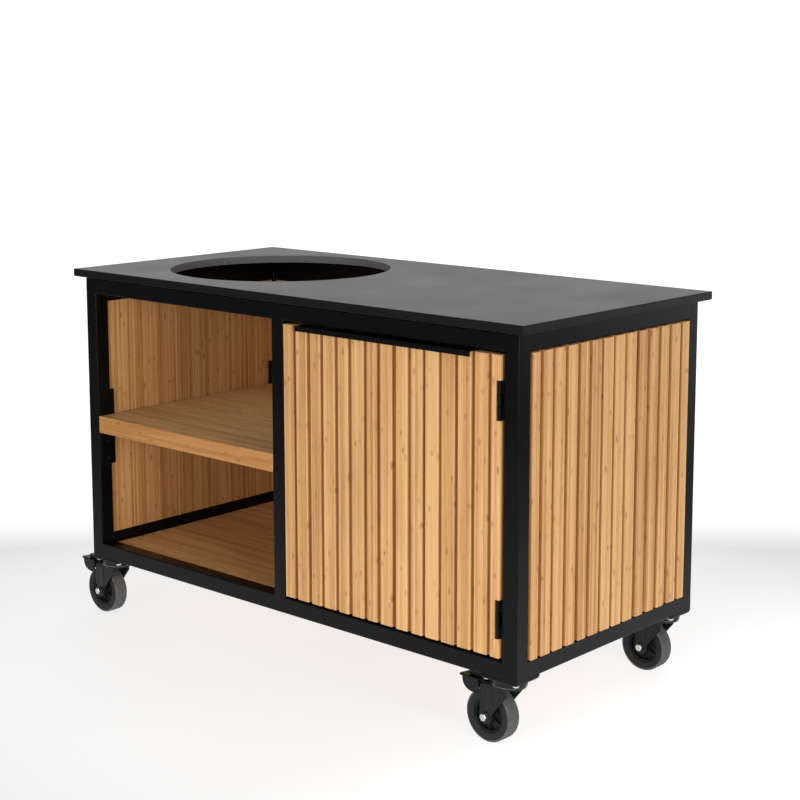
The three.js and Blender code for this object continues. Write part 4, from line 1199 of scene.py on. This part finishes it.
def fork_mesh():
    """Pressed sheet: a channel with soft shoulders, cut to the legs' outline, with raised panels and holes."""
    deep = AXLE_Z - 2 * EYE_RADIUS
    r_out, r_in = CROWN_RADIUS, CROWN_RADIUS - FORK_SHEET
    bend_y, bend_z = FORK_OUTER - r_out, CROWN_TOP - r_out
    channel = [(-FORK_OUTER, deep)]
    channel += arc(-bend_y, bend_z, r_out, 180, 90, BEND_STEPS) + arc(bend_y, bend_z, r_out, 90, 0, BEND_STEPS)
    channel += [(FORK_OUTER, deep), (FORK_INNER, deep)]
    channel += arc(bend_y, bend_z, r_in, 0, 90, BEND_STEPS) + arc(-bend_y, bend_z, r_in, 90, 180, BEND_STEPS)
    channel += [(-FORK_INNER, deep)]
    body = Shell()
    body.prism(channel, FORK_REAR[0] - CUT_BEYOND, CROWN_FRONT + CUT_BEYOND, along_x)
    body = add_object("fork_body", mesh_from("fork_body", body))
    wide = FORK_OUTER + CUT_BEYOND

    def cut(outline, low, high, place, kind):
        shell = Shell()
        shell.prism(outline, low, high, place)
        boolean_piece(body, shell, kind)

    front = [(CROWN_FRONT, FORK_FRONT_Z), FORK_KNEE]
    eye = arc(AXLE_X, AXLE_Z, EYE_RADIUS, EYE_START, EYE_END, EYE_STEPS)
    over_top = CROWN_TOP + CUT_OVER
    side = [(CROWN_REAR, over_top), (CROWN_FRONT, over_top)] + front + eye + [FORK_REAR]
    cut(side, -wide, wide, along_y, "INTERSECT")
    panel_top = CROWN_TOP - r_out * 0.45
    panel = [(CROWN_REAR, panel_top), (CROWN_FRONT, panel_top)] + front
    panel = round_corners(panel + [(FORK_REAR[0], PANEL_BOTTOM), FORK_REAR], PANEL_CORNERS, 4)
    cut(panel, -PANEL_OUTER, -FORK_OUTER + EMBED, along_y, "UNION")
    cut(panel, FORK_OUTER - EMBED, PANEL_OUTER, along_y, "UNION")
    for cx, cz, radius in ((AXLE_X, AXLE_Z, AXLE_RADIUS), (PIVOT_X, PIVOT_Z, PIVOT_RADIUS)):
        cut(arc(cx, cz, radius + HOLE_GAP, 0, 360, SMALL_TURN_STEPS), -wide, wide, along_y, "DIFFERENCE")
    king = arc(0, 0, KING_RADIUS + HOLE_GAP, 0, 360, SMALL_TURN_STEPS)
    cut(king, DISH_BOTTOM, over_top, along_z, "DIFFERENCE")
    mesh = body.data.copy()
    bpy.data.objects.remove(body)
    return mesh


def fork_extras():
    """The dished ring under the ball race, and the pressed rib down each leg."""
    shell = Shell()
    f, r, bore = DISH_EDGE, DISH_RADIUS, KING_RADIUS + HOLE_GAP
    ring = [(bore, CROWN_TOP), (r - f, CROWN_TOP), (r, CROWN_TOP - f),
            (r, DISH_BOTTOM + f), (r - f, DISH_BOTTOM), (bore, DISH_BOTTOM)]
    shell.turned(ring, ORIGIN, UP, TURN_STEPS)
    root_y = PANEL_OUTER - EMBED
    levels = [(PANEL_BOTTOM, RIB_ROOT, root_y), (RIB_TOP, RIB_ROOT, root_y),
              (RIB_TOP - RIB_SLOPE, RIB_RIDGE, RIB_OUTER), (PANEL_BOTTOM + RIB_SLOPE, RIB_RIDGE, RIB_OUTER)]
    faces = [[0, 1, 2, 3], [4, 5, 6, 7], [0, 1, 5, 4], [1, 2, 6, 5], [2, 3, 7, 6], [3, 0, 4, 7]]
    for way in (-1, 1):
        points = [(RIB_X + edge * half, way * y, z) for edge in (-1, 1) for z, half, y in levels]
        shell.add(points, faces)
    return shell


def tyre_shell():
    """Rounded shoulders, a flat tread with two fine mould lines, and a raised bead on each side."""
    inner = WHEEL_RADIUS - TREAD_THICKNESS
    h, r, s, lip = WHEEL_HALF, WHEEL_RADIUS, TYRE_SHOULDER, TYRE_LIP
    side = [
        (inner, h - lip * 3, 1), (inner + 0.0014, h - lip, 1), (inner + 0.0040, h - lip * 0.4, 1),
        (inner + 0.0100, h, 1), (inner + 0.0112, h, 1), (inner + 0.0118, h - lip * 0.5, 1),
        (r - s - 0.0012, h - lip * 0.6, 1),
    ]
    angles = [math.pi / 2 * i / 5 for i in range(6)]
    shoulder = [(r - s + s * math.sin(a), h - s * 0.55 + s * 0.55 * math.cos(a), 0) for a in angles]
    mould_line = [(r, 0.0102, 0), (r - 0.0004, 0.0099, 0), (r, 0.0096, 0)]
    half = side + shoulder + mould_line
    profile = half + [(a, -b, k) for a, b, k in reversed(half)]
    kinds = [max(profile[i][2], profile[(i + 1) % len(profile)][2]) for i in range(len(profile))]
    shell = Shell()
    shell.turned([(a, b) for a, b, _ in profile], WHEEL_CENTRE, SIDEWAYS, TURN_STEPS, kinds=kinds)
    return shell


def hub_shell():
    """Moulded hub: rim, dished web with ribs, boss and bearing seal."""
    outer = WHEEL_RADIUS - TREAD_THICKNESS - HOLE_GAP
    inner = outer - RIM_THICKNESS
    f, boss, web, rim = 0.0012, BOSS_HALF, WEB_HALF, RIM_HALF
    fillet = BOSS_RADIUS + f
    half = [
        (AXLE_RADIUS + HOLE_GAP, boss - 0.001), (0.0090, boss), (0.0118, boss), (0.0120, boss - 0.0014),
        (0.0132, boss - 0.0014), (BOSS_RADIUS - 0.0008, boss - 0.0020), (BOSS_RADIUS, boss - 0.003),
        (fillet, web + f), (fillet + f, web),
        (inner - 0.0016 - f, web), (inner - 0.0016, web + f), (inner - 0.0006, rim - 0.0010),
        (inner + 0.0004, rim), (outer - 0.0010, rim), (outer, rim - 0.0010),
    ]
    profile = half + [(a, -b) for a, b in reversed(half)]
    shell = Shell()
    shell.turned(profile, WHEEL_CENTRE, SIDEWAYS, TURN_STEPS)
    for i in range(HUB_RIBS):
        angle = math.tau * (i + 0.5) / HUB_RIBS
        direction = Vector((math.cos(angle), math.sin(angle)))
        across = Vector((-direction.y, direction.x)) * HUB_RIB_HALF
        start, end = direction * (BOSS_RADIUS - 0.001), direction * (inner + 0.001)
        section = [start - across, end - across, end + across, start + across]
        outline = [(AXLE_X + p.x, AXLE_Z + p.y) for p in section]
        shell.prism(outline, -HUB_RIB_OUT, HUB_RIB_OUT, along_y)
    return shell


def axle_shell():
    """The axle with a washer and a hexagon head at each end, seated on the legs' foot."""
    shell = Shell()
    f, r, seat = 0.0006, WASHER_RADIUS, FORK_OUTER + SEAT_GAP
    face = seat + WASHER_THICKNESS
    washer = [(0, seat), (r - f, seat), (r, seat + f), (r, face - f), (r - f, face), (0, face)]
    for way in (-1, 1):
        axis = (0, way, 0)
        shell.turned(washer, WHEEL_CENTRE, axis, SMALL_TURN_STEPS, kind=1, closed=False)
        shell.hexagon((AXLE_X, way * (face - EMBED), AXLE_Z), axis, HEAD_RADIUS, HEAD_HEIGHT, HEAD_TURN)
    reach = seat + EMBED
    rod = [(0, -reach), (AXLE_RADIUS, -reach), (AXLE_RADIUS, reach), (0, reach)]
    shell.turned(rod, WHEEL_CENTRE, SIDEWAYS, SMALL_TURN_STEPS, closed=False)
    return shell


def arm_outline():
    """The arm from under the plate to a round boss on the pivot."""
    pivot = (PIVOT_X, PIVOT_Z)
    upper = (HEEL_X, ARM_UPPER_Z)
    start = tangent_point(upper, pivot, PEDAL_BOSS, -1)
    end = tangent_point(ARM_LOWER, pivot, PEDAL_BOSS, 1)
    first = math.degrees(math.atan2(start[1] - pivot[1], start[0] - pivot[0]))
    last = math.degrees(math.atan2(end[1] - pivot[1], end[0] - pivot[0]))
    while last > first:
        last -= 360
    boss = arc(*pivot, PEDAL_BOSS, first, last, ARM_STEPS)
    return [(ARM_LOWER[0], ARM_UPPER_Z), upper] + boss + [ARM_LOWER]


def cheek_outline():
    """The wing's side skirt, straight at the heel and curved up to the toe."""
    knee_x, knee_z = CHEEK_KNEE
    toe = (CHEEK_TOE_X, PEDAL_BOTTOM)
    belly = []
    for i in range(1, CHEEK_STEPS):
        t = i / CHEEK_STEPS
        x = (1 - t) ** 2 * knee_x + 2 * t * (1 - t) * toe[0] + t * t * toe[0]
        z = (1 - t) ** 2 * knee_z + 2 * t * (1 - t) * knee_z + t * t * toe[1]
        belly.append((x, z))
    return [toe, (CHEEK_TOE_X, PEDAL_TOP), (WING_X, PEDAL_TOP), (WING_X, CHEEK_HEEL_Z), CHEEK_KNEE] + belly


def pedal_shell():
    """Wing pedal: a plate with a raised tread button, side skirts, and two arms down to the pivot."""
    shell = Shell()
    for way in (-1, 1):
        shell.prism(cheek_outline(), *sorted((way * CHEEK_INNER, way * CHEEK_OUTER)), along_y)
        shell.prism(arm_outline(), *sorted((way * ARM_INNER, way * ARM_OUTER)), along_y)
    plan = [(HEEL_X, -ARM_OUTER), (HEEL_X, ARM_OUTER), (WING_X, ARM_OUTER), (WING_X, CHEEK_OUTER),
            (TOE_X, CHEEK_OUTER), (TOE_X + PEDAL_NOTCH, 0), (TOE_X, -CHEEK_OUTER), (WING_X, -CHEEK_OUTER),
            (WING_X, -ARM_OUTER)]
    shell.prism(round_corners(plan, PEDAL_CORNERS, 5), PEDAL_BOTTOM, PEDAL_TOP, along_z)
    button = rectangle(BUTTON_REAR, -BUTTON_HALF, BUTTON_FRONT, BUTTON_HALF)
    button = round_corners(button, [BUTTON_CORNER] * 4, 5)
    shell.prism(button, PEDAL_TOP - EMBED, BUTTON_TOP, along_z)
    pin = [(0, -PANEL_OUTER), (PIVOT_RADIUS, -PANEL_OUTER), (PIVOT_RADIUS, PANEL_OUTER), (0, PANEL_OUTER)]
    shell.turned(pin, (PIVOT_X, 0, PIVOT_Z), SIDEWAYS, SMALL_TURN_STEPS, closed=False)
    pad_top = PEDAL_BOTTOM + EMBED
    lift = WHEEL_RADIUS + PAD_LIFT
    pad = [(PAD_FRONT, pad_top), (PAD_REAR, pad_top)]
    for i in range(PAD_STEPS + 1):
        x = PAD_REAR + (PAD_FRONT - PAD_REAR) * i / PAD_STEPS
        pad.append((x, AXLE_Z + math.sqrt(lift ** 2 - (x - AXLE_X) ** 2)))
    shell.prism(pad, -PAD_HALF, PAD_HALF, along_y)
    return shell


def add_casters():
    yoke = fork_mesh()
    for place in CORNERS:
        low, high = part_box(f"caster_{place}_plate")
        half_x, half_y = (high.x - low.x) / 2, (high.y - low.y) / 2
        origin = Vector((low.x + half_x, low.y + half_y, high.z + FOOT_THICKNESS))
        prefix = f"caster_{place}_"

        def part(title, shell, materials, body, slot, *stands_for, smooth=30, bevel=0):
            shell.points = [(x + origin.x, y + origin.y, z + origin.z) for x, y, z in shell.points]
            nodes = [prefix + node for node in stands_for]
            make_piece(prefix + title, shell, materials, body, nodes, smooth=smooth, bevel=bevel)

        part("top_plate", caster_plate_shell(half_x, half_y), [caster_steel], "table", "caster_black", "plate",
             smooth=40, bevel=0.0005)
        part("race", caster_zinc_shell(), [zinc], "table", "zinc", smooth=35)
        part("nose", fork_extras(), [caster_steel], place + "_fork", "caster_black", smooth=40, bevel=0.0008)
        mesh = yoke.copy()
        mesh.transform(Matrix.Translation(origin))
        mesh.materials.clear()
        finish_piece(prefix + "yoke", mesh, [caster_steel], place + "_fork",
                     (prefix + "fork",), smooth=35, bevel=0.0005, bevel_angle=40)
        part("tread", tyre_shell(), [tread, sidewall], place + "_wheel", "grey_tread", "tyre")
        part("wheel_hub", hub_shell(), [hub_plastic], place + "_wheel", "black_plastic", "hub")
        part("axle_bolt", axle_shell(), [zinc, caster_steel], place + "_fork", "zinc", "axle")
        part("brake_pedal", pedal_shell(), [plastic], place + "_pedal", "black_plastic", "pedal",
             smooth=35, bevel=0.0009)


# Studio
def add_floor():
    mesh = bpy.data.meshes.new("studio_floor")
    plan = rectangle(-FLOOR_HALF, -FLOOR_HALF, FLOOR_HALF, FLOOR_HALF)
    mesh.from_pydata([(x, y, 0) for x, y in plan], [], [(0, 1, 2, 3)])
    mesh.materials.append(floor_paint("studio_floor"))
    floor = add_object("studio_floor", mesh)


def add_light(name, position, target, size, power):
    data = bpy.data.lights.new(name, "AREA")
    data.shape = "RECTANGLE"
    data.size, data.size_y = size
    data.energy = power
    light = add_object(name, data)
    light.location = position
    light.rotation_mode = "QUATERNION"
    light.rotation_quaternion = (Vector(target) - Vector(position)).to_track_quat("-Z", "Y")


def add_backdrop():
    """A world that is bright at the horizon behind the table, soft overhead and dim elsewhere."""
    world = bpy.data.worlds.new("studio")
    world.use_nodes = True
    n = Graph(world.node_tree)
    x, y, z = n.split(n.place("Generated"))
    behind = x * BEHIND[X] + y * BEHIND[Y]
    wall = n.remap(behind, -0.1, 0.7, 0, 1, True) * n.remap(z, 0.11, 0.66, 1, 0.15, True)
    strength = wall * (BACKDROP - ROOM) + ROOM + n.remap(z, 0.60, 1.0, 0, OVERHEAD, True)
    background = world.node_tree.nodes["Background"]
    background.inputs["Color"].default_value = (1, 1, 1, 1)
    n.put(background.inputs["Strength"], strength)
    bpy.context.scene.world = world


def add_studio():
    add_backdrop()
    for softbox in SOFTBOXES:
        add_light(*softbox)
    settings = bpy.context.scene.view_settings
    settings.view_transform = "Standard"
    settings.look = "None"


def add_camera():
    data = bpy.data.cameras.new("camera")
    data.lens = 76.02
    data.sensor_width = 36
    data.shift_x = -0.0011
    data.shift_y = -0.0989
    data.clip_end = 200
    camera = add_object("camera", data)
    yaw, pitch, roll = math.radians(42.0), math.radians(8.58), math.radians(-0.044)
    look = Vector((-math.sin(yaw) * math.cos(pitch), math.cos(yaw) * math.cos(pitch), -math.sin(pitch)))
    turn = look.to_track_quat("-Z", "Y").to_matrix() @ Matrix.Rotation(roll, 3, "Z")
    camera.matrix_world = Matrix.Translation((2.87753, -3.07555, 1.47067)) @ turn.to_4x4()
    bpy.context.scene.camera = camera


add_posts()
add_rails()
add_worktop()
dress_tape()
add_walls()
add_wall_seals()
add_door()
add_inner_boards()
add_brackets()
add_door_pull()
add_hinges()
add_casters()
add_floor()
add_studio()
add_camera()
